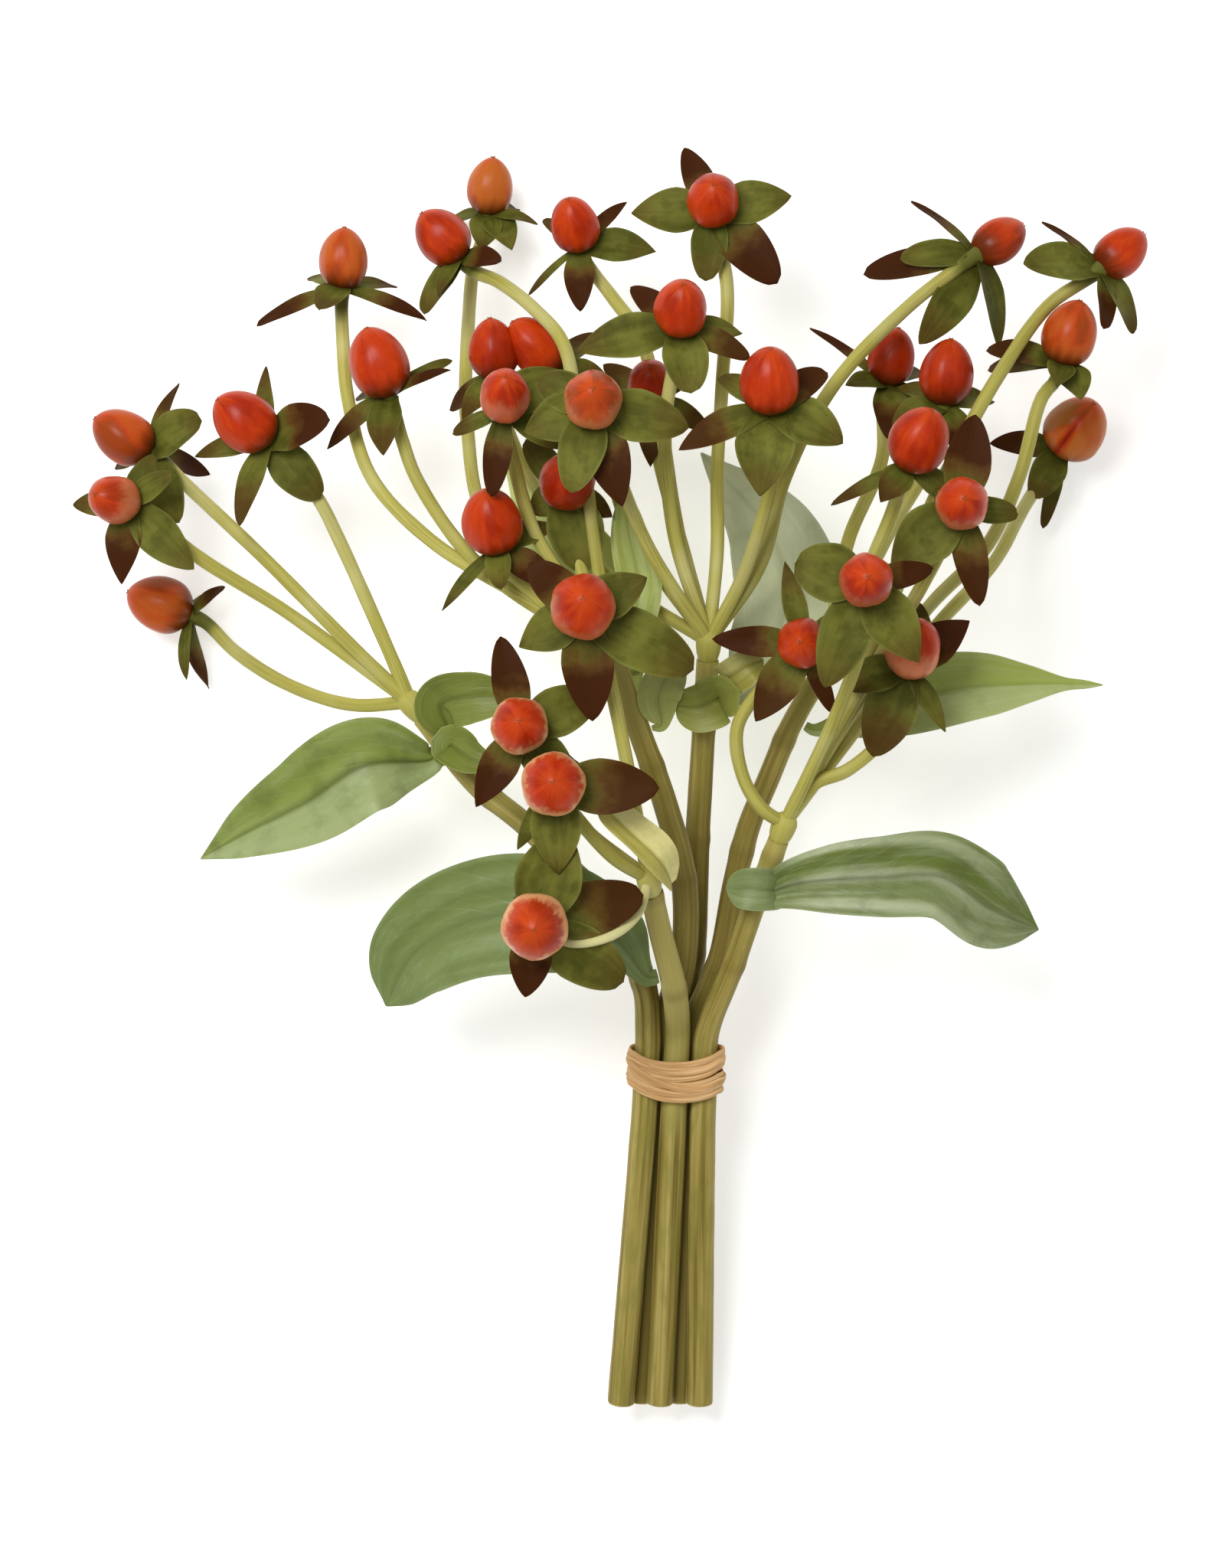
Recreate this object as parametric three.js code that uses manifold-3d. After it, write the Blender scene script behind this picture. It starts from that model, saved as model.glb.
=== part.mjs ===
// A tied bunch of hypericum berry stems, lying on a table: six cut stems, each with a spray
// of berries at its top, fourteen leaves, and a raffia tie. Millimetres, +Z up.
// The cut ends point to -Y, the sprays to +Y, and the side that shows best faces +Z.
import * as THREE from 'three';
import { mergeVertices } from 'three/addons/utils/BufferGeometryUtils.js';
import Module from 'manifold-3d';

// Driving dimensions.
const berryLength = 13.6;
const berryRadius = 5.3;
const berrySeat = 0.46; // the calyx sits this share of the length behind the berry's middle
const sepalWidth = 7.6; // of a sepal of the usual length
const sepalLength = 15;
const sepalThickness = 1.2;
const sepalArch = 1.6; // a sepal's middle stands this far forward of a straight line
const sepalCup = 0.22; // its edges rise by this share of its half width
const sepalTurn = 1; // its upper side turns up from the berry's axis by this much
const calyxThickness = 1.5; // in the middle, where the five sepals meet
const valleyReach = 2.6; // from the middle to the notch between two sepals
const stalkRadius = 1.45; // the thin stalk under each berry
const stalkCollar = 2.1; // the stalk swells to this where the calyx sits
const swellLength = 5.5; // and is back at its own radius this far down
const stalkSunk = 1.5; // the stalk's end stands this far into the berry
const stalkNeck = 3; // and it comes straight out of the calyx for this far
const stemRadiusCut = 3.0; // at the cut end
const stemRadiusTie = 2.9; // under the tie
const stemRadiusTop = 2.35; // below the spray
const knuckleRadius = 2.7; // the swelling that a spray's stalks grow from
const leafThickness = 1.0;
const seatGap = 0.3; // between a piece and what carries it
const leafClear = 2; // a leaf leaves its stem square for this far

// How wide a leaf is along its length: [share of the length, share of the half width].
const outlines = {
  even: [[0, 0.12], [0.1, 0.3], [0.24, 0.78], [0.42, 1], [0.62, 0.9], [0.8, 0.56], [0.92, 0.24], [1, 0]],
  broadBase: [[0, 0.2], [0.1, 0.55], [0.22, 0.92], [0.4, 1], [0.6, 0.82], [0.8, 0.5], [0.92, 0.22], [1, 0]],
  blunt: [[0, 0.12], [0.1, 0.3], [0.24, 0.76], [0.42, 1], [0.62, 0.96], [0.8, 0.78], [0.93, 0.46], [1, 0]],
  strap: [[0, 0.35], [0.12, 0.8], [0.3, 1], [0.6, 0.98], [0.8, 0.9], [0.93, 0.62], [1, 0]],
  broadTip: [[0, 0.26], [0.1, 0.5], [0.25, 0.7], [0.45, 0.84], [0.62, 0.96], [0.76, 1], [0.9, 0.5], [1, 0]],
};

// The bundle: where the cut ends and the tie are, and how far apart the stems lie there.
const cutEnd = new THREE.Vector3(10.3, -134.3, 7.7);
const tieCentre = new THREE.Vector3(13.5, -60.9, 26);
const cutPitch = { across: 8.5, row: 4.7 };
const tiePitch = { across: 6.25, row: 5.42 };
const straightRun = 8; // the stems run straight this far on each side of the tie
const strand = { width: 4.4, thickness: 1.1, apart: 5.4, slant: 0.06, slack: 0.45 }; // raffia

// Three stems lie on top, two in the hollows between them, and one underneath.
const places = {
  left: [-1, 1],
  front: [0, 1],
  right: [1, 1],
  upper_left: [-0.5, 0],
  inner_right: [0.5, 0],
  centre: [0, -1],
};

// Each stem's way from the tie up to its spray's fork.
const stemRoutes = {
  left: [[6.5, -42, 36.5], [-3, -25, 41], [-18, -9, 41], [-29, 0, 39], [-41, 15, 38]],
  front: [[13, -43, 45], [10, -31, 54], [8, -22, 61]],
  right: [[26, -37, 42], [30, -25, 47], [35, -11, 53]],
  upper_left: [[15, -37, 39], [15, -20, 45], [11, -4, 50], [6, 10, 55], [0, 27, 58]],
  inner_right: [[23, -37, 33], [26, -21, 34], [29, -9, 36], [33, 1, 39], [38, 13, 43], [45, 25, 46]],
  centre: [[17, -37, 29], [18, -12, 37], [19, 7, 45], [20, 27, 52]],
};

// The berries of each spray. at is the berry's middle, axis points from its stalk to its tip, and
// long and wide are its size against berryLength and berryRadius. stalk is the stalk's way from
// the calyx down to the fork, whose ends stalkOf adds, and sepals are the tips of the five
// sepals, measured from the calyx.
const sprays = {
  left: [
    { at: [-104, 74, 34], axis: [-0.8, 0.5, 0.3], long: 1.08, wide: 1.08,
      stalk: [[-91, 64, 33], [-75, 49, 36], [-55, 29, 38]],
      sepals: [[6, 15, -2], [11.5, 6.5, 7], [6.5, -15, 3], [11.5, -4, -12], [-8, -3, -10]] },
    { at: [-105, 60, 46], axis: [-0.5, 0.1, 0.85], long: 0.98, wide: 0.98,
      stalk: [[-89, 49, 38], [-70, 37, 34], [-52, 24, 36]],
      sepals: [[-13, 0, -5], [-2, -17, -1], [13.5, -14, 2], [9.5, 6, 5], [5.5, 10, 2]] },
    { at: [-98, 39, 12.2], axis: [-0.9, 0.35, 0.15], long: 1.12, wide: 1.18,
      stalk: [[-82, 29, 13], [-71, 22, 18], [-56, 17, 29]],
      sepals: [[8, 6, 8], [-0.5, -14, 5], [3.5, -15.5, -6], [3, 5, -11], [-5, 6, -7]] },
    { at: [-77, 76, 52], axis: [-0.7, 0.55, 0.45], long: 1.14, wide: 1.18,
      stalk: [[-62, 60, 46], [-58, 52, 43], [-50, 34, 40]],
      sepals: [[-1, 16, -4], [13, 4, 7], [10.5, -12, -1], [-6, -18, 3], [-16, -3, -8]] },
  ],
  front: [
    { at: [-6, 36, 90], axis: [0, 0.15, 0.98], long: 1.2, wide: 1.28,
      stalk: [[-2, 26, 78], [1, 14, 73], [6, -12, 66]],
      sepals: [[-13, -7, -1], [2, -22, -2], [22.5, -11.5, -3], [-11, 10, 1], [13, 7, 2]] },
    { at: [-19, 12, 80], axis: [0, 0.1, 0.99], long: 1.1, wide: 1.14,
      stalk: [[-16, 4, 70], [-6, -9, 66]],
      sepals: [[-4, 19, 1], [-5, 2, -8], [-9, -16, 0], [16, 7, -3], [10, -12, -4]] },
    { at: [-12, 0, 89], axis: [0, 0.05, 1], long: 1.15, wide: 1.26,
      stalk: [[-8, -6, 76], [0, -15, 69]],
      sepals: [[21.5, -0.5, 1], [1, -18, -1], [-7.5, -13, -5], [-4, 4, -8], [4, 5, -8]] },
    { at: [-15.8, -29, 86], axis: [0, -0.05, 1], long: 1.2, wide: 1.32,
      stalk: [[-9, -32.5, 77], [-1, -31.5, 76], [5, -27, 70]],
      sepals: [[-2, -15, -1], [22, 6, -7], [18, -12, -8], [6, 20, 1], [-4, 5, -8]] },
  ],
  right: [
    { at: [107, 112, 46], axis: [0.75, 0.6, -0.2], long: 0.98, wide: 0.98,
      stalk: [[92, 101, 48], [81, 86, 56], [73, 72, 60], [64, 53, 62], [53, 26, 61]],
      sepals: [[-12, 10, -1], [-16.5, 0.5, 6], [0.5, -13, 4], [7, -13.5, -2], [2, 2, -14]] },
    { at: [96, 94.4, 50], axis: [0.25, 0.9, 0.3], long: 1.08, wide: 1.1,
      stalk: [[90, 81, 50], [85.5, 65, 50], [78.5, 50, 52], [66, 37, 56], [50, 15, 58]],
      sepals: [[3.5, -8, 8], [-16, 2.5, 3], [-15, -1, -5], [3, 6, -9], [-2, -6, 12]] },
    { at: [100.4, 77, 14.7], axis: [0.4, 0.6, 0.6], long: 1.15, wide: 1.28,
      stalk: [[89, 60, 17], [81, 47, 34], [66, 31, 52]],
      sepals: [[-15.5, 1.5, 3], [-6.5, -10.5, 5], [-3.5, -16.5, -4], [6, 7, -7], [4, 9, -10]] },
    { at: [71, 57, 86], axis: [0, 0.1, 0.99], long: 1.02, wide: 1.04,
      stalk: [[66, 45, 72], [60, 34, 66], [49, 15, 60]],
      sepals: [[3, 19, 1], [12, -1, -4], [4, -20, 0], [-14, -12, -1], [-4, 4, -8]] },
    { at: [51, 41, 96], axis: [0, 0.05, 1], long: 1.04, wide: 1.06,
      stalk: [[51, 30, 80], [46, 14, 68]],
      sepals: [[14, 3, -2], [-14, 4, -1], [-8, -21, -2], [11, -16, -1], [2, 4, -9]] },
    { at: [39, 29, 72], axis: [-0.1, 0, 1], long: 1, wide: 1,
      stalk: [[32, 21, 62], [26, 12, 60], [27, 2, 58], [31, -5, 57]],
      sepals: [[-19, 1, 0], [-4, 17, 1], [-10, -16, -1], [12, 6, -4], [6, -14, -2]] },
    { at: [62, 28, 70], axis: [0.15, 0.6, 0.78], long: 1.12, wide: 1.1,
      stalk: [[62, 18, 61], [57, 10, 59], [49, 3, 58], [42, 0, 57]],
      sepals: [[13, 10, 0], [8, -13, -1], [-7, -18, -2], [-12, 4, -4], [2, 14, -3]] },
  ],
  upper_left: [
    { at: [-26.5, 129.3, 14], axis: [0.1, 0.95, 0.3], long: 0.96, wide: 0.95,
      stalk: [[-30, 113, 14], [-31, 102, 19], [-31, 77, 33], [-26, 54, 44]],
      sepals: [[11, -3, 8], [5.5, -8.5, 8], [-1, -8.5, 8], [-10, -2, -9], [6, 2, -12]] },
    { at: [-36, 116, 38], axis: [-0.65, 0.72, 0.25], long: 1, wide: 1.06,
      stalk: [[-24, 106, 43], [-16, 99, 53], [-10, 91, 60], [-7, 74, 60], [-4, 52, 57]],
      sepals: [[-8, -12, 4], [8.5, -1.5, 9], [-2, 5, -9], [-8, -6, -10], [-4.5, -9, 8]] },
    { at: [-57, 111, 40], axis: [0.05, 0.97, 0.25], long: 1, wide: 1,
      stalk: [[-57, 93, 40], [-56, 82, 41], [-51, 65, 44], [-38, 51, 50], [-22, 41, 56]],
      sepals: [[-18, -8, 2], [18, -7, 3], [-8, 3, -12], [11, 1, -10], [-4, -6, 13]] },
    { at: [-49, 88, 52], axis: [-0.3, 0.9, 0.3], long: 1.17, wide: 1.2,
      stalk: [[-44, 72, 50], [-41, 64, 50], [-30, 48, 54], [-16, 37, 57]],
      sepals: [[13, 8, -6], [13, 5, 6], [-1, -13, 8], [-13, -11, -3], [-7, 0, -12]] },
    { at: [-22, 79.4, 80], axis: [0.05, 0.45, 0.88], long: 1.05, wide: 0.98,
      stalk: [[-21, 69, 66], [-16, 52, 59]],
      sepals: [[-2.5, -17.5, 0], [-10.5, -4.5, -2], [12, -7, -7], [12, 8.5, -6], [-3, 4, -10]] },
    { at: [-25, 54.2, 66], axis: [-0.15, 0.75, 0.65], long: 1.15, wide: 1.2,
      stalk: [[-22, 45, 58], [-12, 36, 59]],
      sepals: [[12.5, -8.5, 4], [-11.5, -13, 1], [12, 5, -6], [-5, 4, -8], [1, -9, 9]] },
    { at: [-9.4, 62.9, 63], axis: [0.1, 0.3, 0.95], long: 1.1, wide: 1.12,
      stalk: [[-9, 53, 55], [-5, 40, 57]],
      sepals: [[4.5, -16.5, 0], [-7, -4, -2], [10, -5, -2], [9, 11, -5], [-8, 11, -4]] },
  ],
  inner_right: [
    { at: [59, 90, 43], axis: [0.2, 0.9, 0.3], long: 0.95, wide: 0.95,
      stalk: [[57, 69, 41], [50, 52, 41], [47, 38, 43]],
      sepals: [[-16, 12, -1], [-9, -1, 10], [0, -12, 8], [10, -8, 3], [8, 3, -11]] },
    { at: [70, 85.8, 53], axis: [0.1, 0.95, 0.25], long: 1.08, wide: 1.08,
      stalk: [[67, 68, 46], [59, 54, 44], [51, 38, 45]],
      sepals: [[-11, -5, 8], [4, -11, 7], [-3, -7, -11], [11, 1, -7], [-9, 4, -8]] },
    { at: [63, 70.5, 74], axis: [0.3, 0.75, 0.6], long: 1.12, wide: 1.2,
      stalk: [[58, 56, 60], [51, 39, 51]],
      sepals: [[-16, -8, 2], [-6, -7.5, 5], [10, -8, -2], [8, 4, -11], [-2, 6, -8]] },
  ],
  centre: [
    { at: [-8, 118, 44], axis: [-0.2, 0.7, 0.7], long: 1, wide: 0.98,
      stalk: [[0, 103, 40], [6, 94, 44], [10, 76, 48], [14, 52, 50]],
      sepals: [[-8, 6.5, -6], [10, 10, -3], [16, -1, 0], [0, -14, 4], [-11, -10.5, 1]] },
    { at: [21, 122, 56], axis: [0, 0.35, 0.94], long: 1, wide: 1.06,
      stalk: [[24, 105, 50], [23, 84, 52], [22, 65, 51], [22, 49, 51]],
      sepals: [[-6, 14, -3], [-17, 0, -1], [16.5, 3.5, 0], [13.5, -15, 2], [-1.5, -14.5, 2]] },
    { at: [-4, 78, 88], axis: [0, 0.2, 0.98], long: 1.1, wide: 1.14,
      stalk: [[0, 66, 76], [8, 48, 64]],
      sepals: [[-11, 6, -1], [19.5, -4, -1], [-14, -5, 0], [6, -20, 1], [-4, -17.5, 1]] },
    { at: [14, 97.5, 76], axis: [0.05, 0.6, 0.8], long: 1.05, wide: 1.04,
      stalk: [[13, 88, 66], [11, 74, 60], [13, 52, 55]],
      sepals: [[-10, 9, -4], [-21, -5, 0], [13, -1, -5], [14, -7.5, -1], [7.5, -13, 2]] },
    { at: [32, 82, 83], axis: [0, 0.8, 0.6], long: 1.12, wide: 1.18,
      stalk: [[33, 64, 70], [31, 55, 64], [27, 43, 57]],
      sepals: [[12, 8, -3], [15, -7, 2], [-2, -18, 6], [-18.5, -8.5, 2], [-10, 7, -7]] },
    { at: [81, 114, 50], axis: [0.75, 0.5, -0.3], long: 0.98, wide: 0.9,
      stalk: [[62, 100, 55], [46, 83, 59], [36, 64, 58], [31, 46, 54]],
      sepals: [[-13.5, 11.5, -2], [-16, -1, 6], [-23.5, -4, 1], [-12, -18.5, 3], [4.5, -19, -2]] },
    { at: [-25, 91, 50], axis: [-0.1, 0.95, 0.3], long: 1, wide: 1,
      stalk: [[-23, 77, 44], [-16, 62, 43], [0, 43, 46]],
      sepals: [[-10, -6, -8], [8, -7, -9], [-7, -9, 6], [5, -9, 8], [0, 2, -13]] },
    { at: [-16, 91.8, 49], axis: [-0.65, 0.65, 0.35], long: 1.1, wide: 1.05,
      stalk: [[-3, 77, 46], [3, 55, 49]],
      sepals: [[9, 8, -8], [11, -3, 6], [-2, -12, 6], [-9, -8, -6], [2, 3, -14]] },
    { at: [8, 84, 48], axis: [0, 0.5, 0.8], long: 0.95, wide: 0.95,
      stalk: [[10, 68, 44], [15, 49, 47]],
      sepals: [[-10, 8, -5], [10, 8, -5], [12, -6, 1], [-12, -5, 0], [0, -14, 2]] },
  ],
};

// The leaves. spine is the midrib's way from the stem to the tip, faces is the way the upper
// side looks at the base and at the tip, and fold is how far the edges rise for each mm across.
const leaves = {
  leaf_left: { stem: 'left', at: 0.945, outline: 'broadBase', width: 20.5, fold: 0.3,
    faces: [[-0.2, -0.2, 1], [0.1, 0.35, 1]],
    spine: [[-52, 4, 47], [-65, -4, 43], [-77, -10, 37], [-88, -16, 29]] },
  leaf_left_inner: { stem: 'left', at: 0.93, outline: 'even', width: 9, fold: 0.5,
    faces: [[0, 0, 1], [-0.2, 0.4, 1]],
    spine: [[-34, 8, 47], [-29, 5, 51], [-23, 4, 52]] },
  leaf_left_upper: { stem: 'left', at: 0.95, outline: 'even', width: 9, fold: 0.4,
    faces: [[0, -0.3, 1], [0, 0, 1]],
    spine: [[-36, 18, 46], [-31, 21, 50], [-23, 23, 52]] },
  leaf_lower_left: { stem: 'front', at: 0.82, outline: 'blunt', width: 25, fold: 0.12,
    faces: [[0, -0.1, 1], [-0.3, -0.1, 1]],
    spine: [[0, -32, 54], [-16, -27, 56], [-31, -29, 53], [-42, -36, 47], [-48, -47, 38]] },
  leaf_folded: { stem: 'front', at: 0.97, outline: 'strap', width: 8.5, fold: 0.5, pale: true,
    faces: [[0.6, 0.3, 1], [0.3, 0.4, 1]],
    spine: [[11, -20, 68], [6, -13, 74], [-2, -5, 75]] },
  leaf_right: { stem: 'inner_right', at: 0.92, outline: 'even', width: 15.5, fold: 0.25,
    faces: [[0, -0.1, 1], [0.2, 0.3, 1]],
    spine: [[49, 13, 44], [60, 17, 47], [72, 20, 48], [87, 21, 45], [104, 21, 38]] },
  leaf_lower_right: { stem: 'right', at: 0.86, outline: 'broadTip', width: 21.5, fold: 0.2,
    faces: [[0, 0.1, 1], [0.4, 0.2, 1]],
    spine: [[36, -21, 54], [45, -20, 57], [56, -20, 59], [68, -20, 57], [79, -27, 51], [90, -31, 42]] },
  leaf_lower_right_pair: { stem: 'right', at: 0.845, outline: 'blunt', width: 10, fold: 0.25,
    faces: [[-0.2, 0, 1], [-0.4, 0, 1]],
    spine: [[27.2, -22.5, 53], [23.7, -22.5, 52]] },
  leaf_collar: { stem: 'centre', at: 0.95, outline: 'blunt', width: 11, fold: 0.3,
    faces: [[0, -0.4, 1], [-0.6, -0.2, 1]],
    spine: [[22, 18, 56], [18, 16, 58], [13, 16.5, 56]] },
  leaf_collar_upper: { stem: 'centre', at: 0.975, outline: 'blunt', width: 8, fold: 0.3, pale: true,
    faces: [[0.2, 0, 1], [0.4, 0, 1]],
    spine: [[25, 22.5, 57], [28, 24.5, 58], [31.5, 26, 56]] },
  leaf_middle: { stem: 'upper_left', at: 0.9, outline: 'blunt', width: 9, fold: 0.2,
    faces: [[0, 0, 1], [0.2, -0.2, 1]],
    spine: [[9.5, 18, 58], [11.5, 23, 58.5], [14.5, 28, 55]] },
  leaf_centre_pale: { stem: 'upper_left', at: 0.97, outline: 'blunt', width: 9.5, fold: 0.25, pale: true,
    faces: [[0, 0, 1], [0, 0, 1]],
    spine: [[4.5, 31, 54], [5.5, 42, 53], [3.5, 52, 52.6], [2.5, 61, 52]] },
  leaf_back_right: { stem: 'centre', at: 0.93, outline: 'even', width: 23, fold: 0.15,
    faces: [[0, 0, 1], [0.2, -0.2, 1]],
    spine: [[31, 26, 42], [37, 38, 36], [34, 53, 30], [19, 71, 26]] },
  leaf_back_left: { stem: 'upper_left', at: 0.93, outline: 'even', width: 18, fold: 0.15,
    faces: [[0, 0, 1], [-0.2, -0.1, 1]],
    spine: [[2, 27, 44], [-1, 38, 38], [-12, 54, 33], [-24, 74, 28]] },
};

const colours = {
  stem: 0x84774a, spray: 0xc0451c, leaf: 0x6f8f4c, leafPale: 0xb5bf78, raffia: 0xd2a877,
};

const wasm = await Module();
wasm.setup();

const vector = (xyz) => new THREE.Vector3(...xyz);

// A closed geometry as a manifold-3d solid, facing out whichever way it was wound.
function toSolid(geometry) {
  geometry.deleteAttribute('normal');
  geometry.deleteAttribute('uv');
  const merged = mergeVertices(geometry, 1e-4);
  const triVerts = new Uint32Array(merged.index.array);
  const vertProperties = merged.attributes.position.array;
  const solid = new wasm.Manifold(new wasm.Mesh({ numProp: 3, vertProperties, triVerts }));
  if (solid.volume() > 0) return solid;
  for (let i = 0; i < triVerts.length; i += 3) {
    [triVerts[i + 1], triVerts[i + 2]] = [triVerts[i + 2], triVerts[i + 1]];
  }
  return new wasm.Manifold(new wasm.Mesh({ numProp: 3, vertProperties, triVerts }));
}

function toGeometry(solid) {
  const mesh = solid.getMesh();
  const geometry = new THREE.BufferGeometry();
  geometry.setAttribute('position', new THREE.BufferAttribute(new Float32Array(mesh.vertProperties), 3));
  geometry.setIndex(new THREE.BufferAttribute(new Uint32Array(mesh.triVerts), 1));
  geometry.computeVertexNormals();
  return geometry;
}

// Joins solids into one body: a sealed hollow is filled and a loose scrap is dropped.
function join(solids) {
  const whole = wasm.Manifold.union(solids).simplify(0.1);
  return whole.decompose().reduce((best, body) => (body.volume() > best.volume() ? body : best));
}

// A round bar of changing radius along a curve: a cylinder's rings are set across the curve.
function bar(curve, radiusAt, sides, steps) {
  const geometry = new THREE.CylinderGeometry(1, 1, 1, sides, steps);
  const { normals, binormals } = curve.computeFrenetFrames(steps, false);
  const position = geometry.attributes.position;
  for (let i = 0; i < position.count; i += 1) {
    const ring = Math.round((position.getY(i) + 0.5) * steps);
    const along = ring / steps;
    const point = curve.getPointAt(along)
      .addScaledVector(normals[ring], position.getX(i) * radiusAt(along))
      .addScaledVector(binormals[ring], position.getZ(i) * radiusAt(along));
    position.setXYZ(i, point.x, point.y, point.z);
  }
  return toSolid(geometry);
}

// A thin blade that is thickest at its midrib. outline lists the stations from root to tip as
// [share of the length, share of the half width]; heights gives each column's rise and
// thickness. Both faces are cut into triangles alike, so that a waved blade keeps its thickness.
function blade(curve, outline, columns, frameAt, halfWidth, thickness) {
  const top = [];
  const bottom = [];
  const points = [];
  const last = columns.length - 1;
  outline.forEach(([along, share]) => {
    const centre = curve.getPointAt(along);
    const { side, normal } = frameAt(along);
    const rows = [[], []];
    columns.forEach(({ across, rise, thick }, column) => {
      const middle = centre.clone()
        .addScaledVector(side, across * share * halfWidth)
        .addScaledVector(normal, rise * share * halfWidth);
      const half = share > 0 ? (thick * thickness * Math.min(1, 0.45 + share)) / 2 : 0;
      [half, -half].forEach((offset, face) => {
        if (share === 0 && rows[0].length > 0) {
          rows[face].push(rows[0][0]);
        } else if (face === 1 && (column === 0 || column === last || share === 0)) {
          rows[1].push(rows[0][rows[0].length - 1]);
        } else {
          points.push(middle.clone().addScaledVector(normal, offset));
          rows[face].push(points.length - 1);
        }
      });
    });
    top.push(rows[0]);
    bottom.push(rows[1]);
  });
  const faces = [];
  const addFace = (a, b, c) => {
    if (a !== b && b !== c && a !== c) faces.push(a, b, c);
  };
  for (let i = 0; i < outline.length - 1; i += 1) {
    for (let j = 0; j < last; j += 1) {
      addFace(top[i][j], top[i][j + 1], top[i + 1][j + 1]);
      addFace(top[i][j], top[i + 1][j + 1], top[i + 1][j]);
      addFace(bottom[i][j], bottom[i + 1][j + 1], bottom[i][j + 1]);
      addFace(bottom[i][j], bottom[i + 1][j], bottom[i + 1][j + 1]);
    }
  }
  for (let j = 0; j < last; j += 1) { // the root's end face
    addFace(top[0][j], bottom[0][j + 1], top[0][j + 1]);
    addFace(top[0][j], bottom[0][j], bottom[0][j + 1]);
  }
  const geometry = new THREE.BufferGeometry().setFromPoints(points);
  geometry.setIndex(faces);
  return toSolid(geometry);
}

// A blade's frame: side runs across it and normal is the way its upper face looks.
function bladeFrame(curve, faceAt) {
  return (along) => {
    const tangent = curve.getTangentAt(along);
    const side = new THREE.Vector3().crossVectors(tangent, faceAt(along)).normalize();
    const normal = new THREE.Vector3().crossVectors(side, tangent).normalize();
    return { side, normal };
  };
}

const berryProfile = [[0, 0], [0.78, 0.12], [1, 0.42], [0.7, 0.8], [0, 1]];

function berry(calyx, axis, long, wide) {
  const profile = berryProfile.map(([out, up]) => (
    new THREE.Vector2(out * berryRadius * wide, up * berryLength * long)
  ));
  const geometry = new THREE.LatheGeometry(profile, 8);
  geometry.applyQuaternion(new THREE.Quaternion().setFromUnitVectors(new THREE.Vector3(0, 1, 0), axis));
  geometry.translate(calyx.x, calyx.y, calyx.z);
  return toSolid(geometry);
}

// The calyx is one five-pointed body: its sepals share the valley points between them, and
// each is a pointed blade that arches from the middle out to its tip.
const sepalStations = [{ along: 0.2, share: 0 }, { along: 0.42, share: 1 }, { along: 0.74, share: 0.66 }];

function calyxStar(calyx, axis, reaches, size) {
  const east = new THREE.Vector3(axis.z, axis.x, axis.y).projectOnPlane(axis).normalize();
  const north = new THREE.Vector3().crossVectors(axis, east);
  const bearing = (reach) => Math.atan2(reach.dot(north), reach.dot(east));
  const face = axis.clone().add(new THREE.Vector3(0, 0, sepalTurn)).normalize();
  const inOrder = [...reaches].sort((a, b) => bearing(a) - bearing(b));
  const points = [
    calyx.clone().addScaledVector(axis, calyxThickness / 2),
    calyx.clone().addScaledVector(axis, -calyxThickness / 2),
  ];
  const add = (point) => points.push(point) - 1;
  const valleys = inOrder.map((reach, k) => {
    const next = inOrder[(k + 1) % inOrder.length];
    let turn = bearing(next) - bearing(reach);
    if (turn <= 0) turn += Math.PI * 2;
    const angle = bearing(reach) + turn / 2;
    const rise = (reach.dot(axis) / reach.length() + next.dot(axis) / next.length()) / 2;
    const out = east.clone().multiplyScalar(Math.cos(angle)).addScaledVector(north, Math.sin(angle));
    return add(calyx.clone().add(out.addScaledVector(axis, rise).setLength(valleyReach)));
  });
  const faces = [];
  inOrder.forEach((reach, k) => {
    const bend = calyx.clone().addScaledVector(reach, 0.5).addScaledVector(axis, sepalArch);
    const curve = new THREE.QuadraticBezierCurve3(calyx, bend, calyx.clone().add(reach));
    const stretch = THREE.MathUtils.clamp(reach.length() / sepalLength, 0.85, 1.25);
    const halfWidth = (sepalWidth / 2) * size * stretch;
    const frameAt = bladeFrame(curve, () => face);
    const rows = sepalStations.map(({ along, share }, station) => {
      const { side, normal } = frameAt(along);
      const middle = curve.getPointAt(along);
      const edge = (hand) => add(middle.clone()
        .addScaledVector(side, hand * share * halfWidth)
        .addScaledVector(normal, sepalCup * share * halfWidth));
      const half = sepalThickness / 2;
      const top = add(middle.clone().addScaledVector(normal, half));
      const bottom = add(middle.clone().addScaledVector(normal, -half));
      if (station > 0) return { left: edge(1), right: edge(-1), top, bottom };
      return { left: valleys[(k + inOrder.length - 1) % inOrder.length], right: valleys[k], top, bottom };
    });
    const tip = add(curve.getPoint(1));
    faces.push(0, rows[0].left, rows[0].top, 0, rows[0].top, rows[0].right);
    faces.push(1, rows[0].bottom, rows[0].left, 1, rows[0].right, rows[0].bottom);
    rows.slice(1).forEach((outer, i) => {
      const inner = rows[i];
      faces.push(inner.left, outer.left, outer.top, inner.left, outer.top, inner.top);
      faces.push(inner.top, outer.top, inner.right, outer.top, outer.right, inner.right);
      faces.push(inner.left, outer.bottom, outer.left, inner.left, inner.bottom, outer.bottom);
      faces.push(inner.bottom, inner.right, outer.bottom, outer.bottom, inner.right, outer.right);
    });
    const end = rows[rows.length - 1];
    faces.push(end.left, tip, end.top, end.top, tip, end.right);
    faces.push(end.left, end.bottom, tip, end.bottom, end.right, tip);
  });
  const geometry = new THREE.BufferGeometry().setFromPoints(points);
  geometry.setIndex(faces);
  return toSolid(geometry);
}

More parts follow.
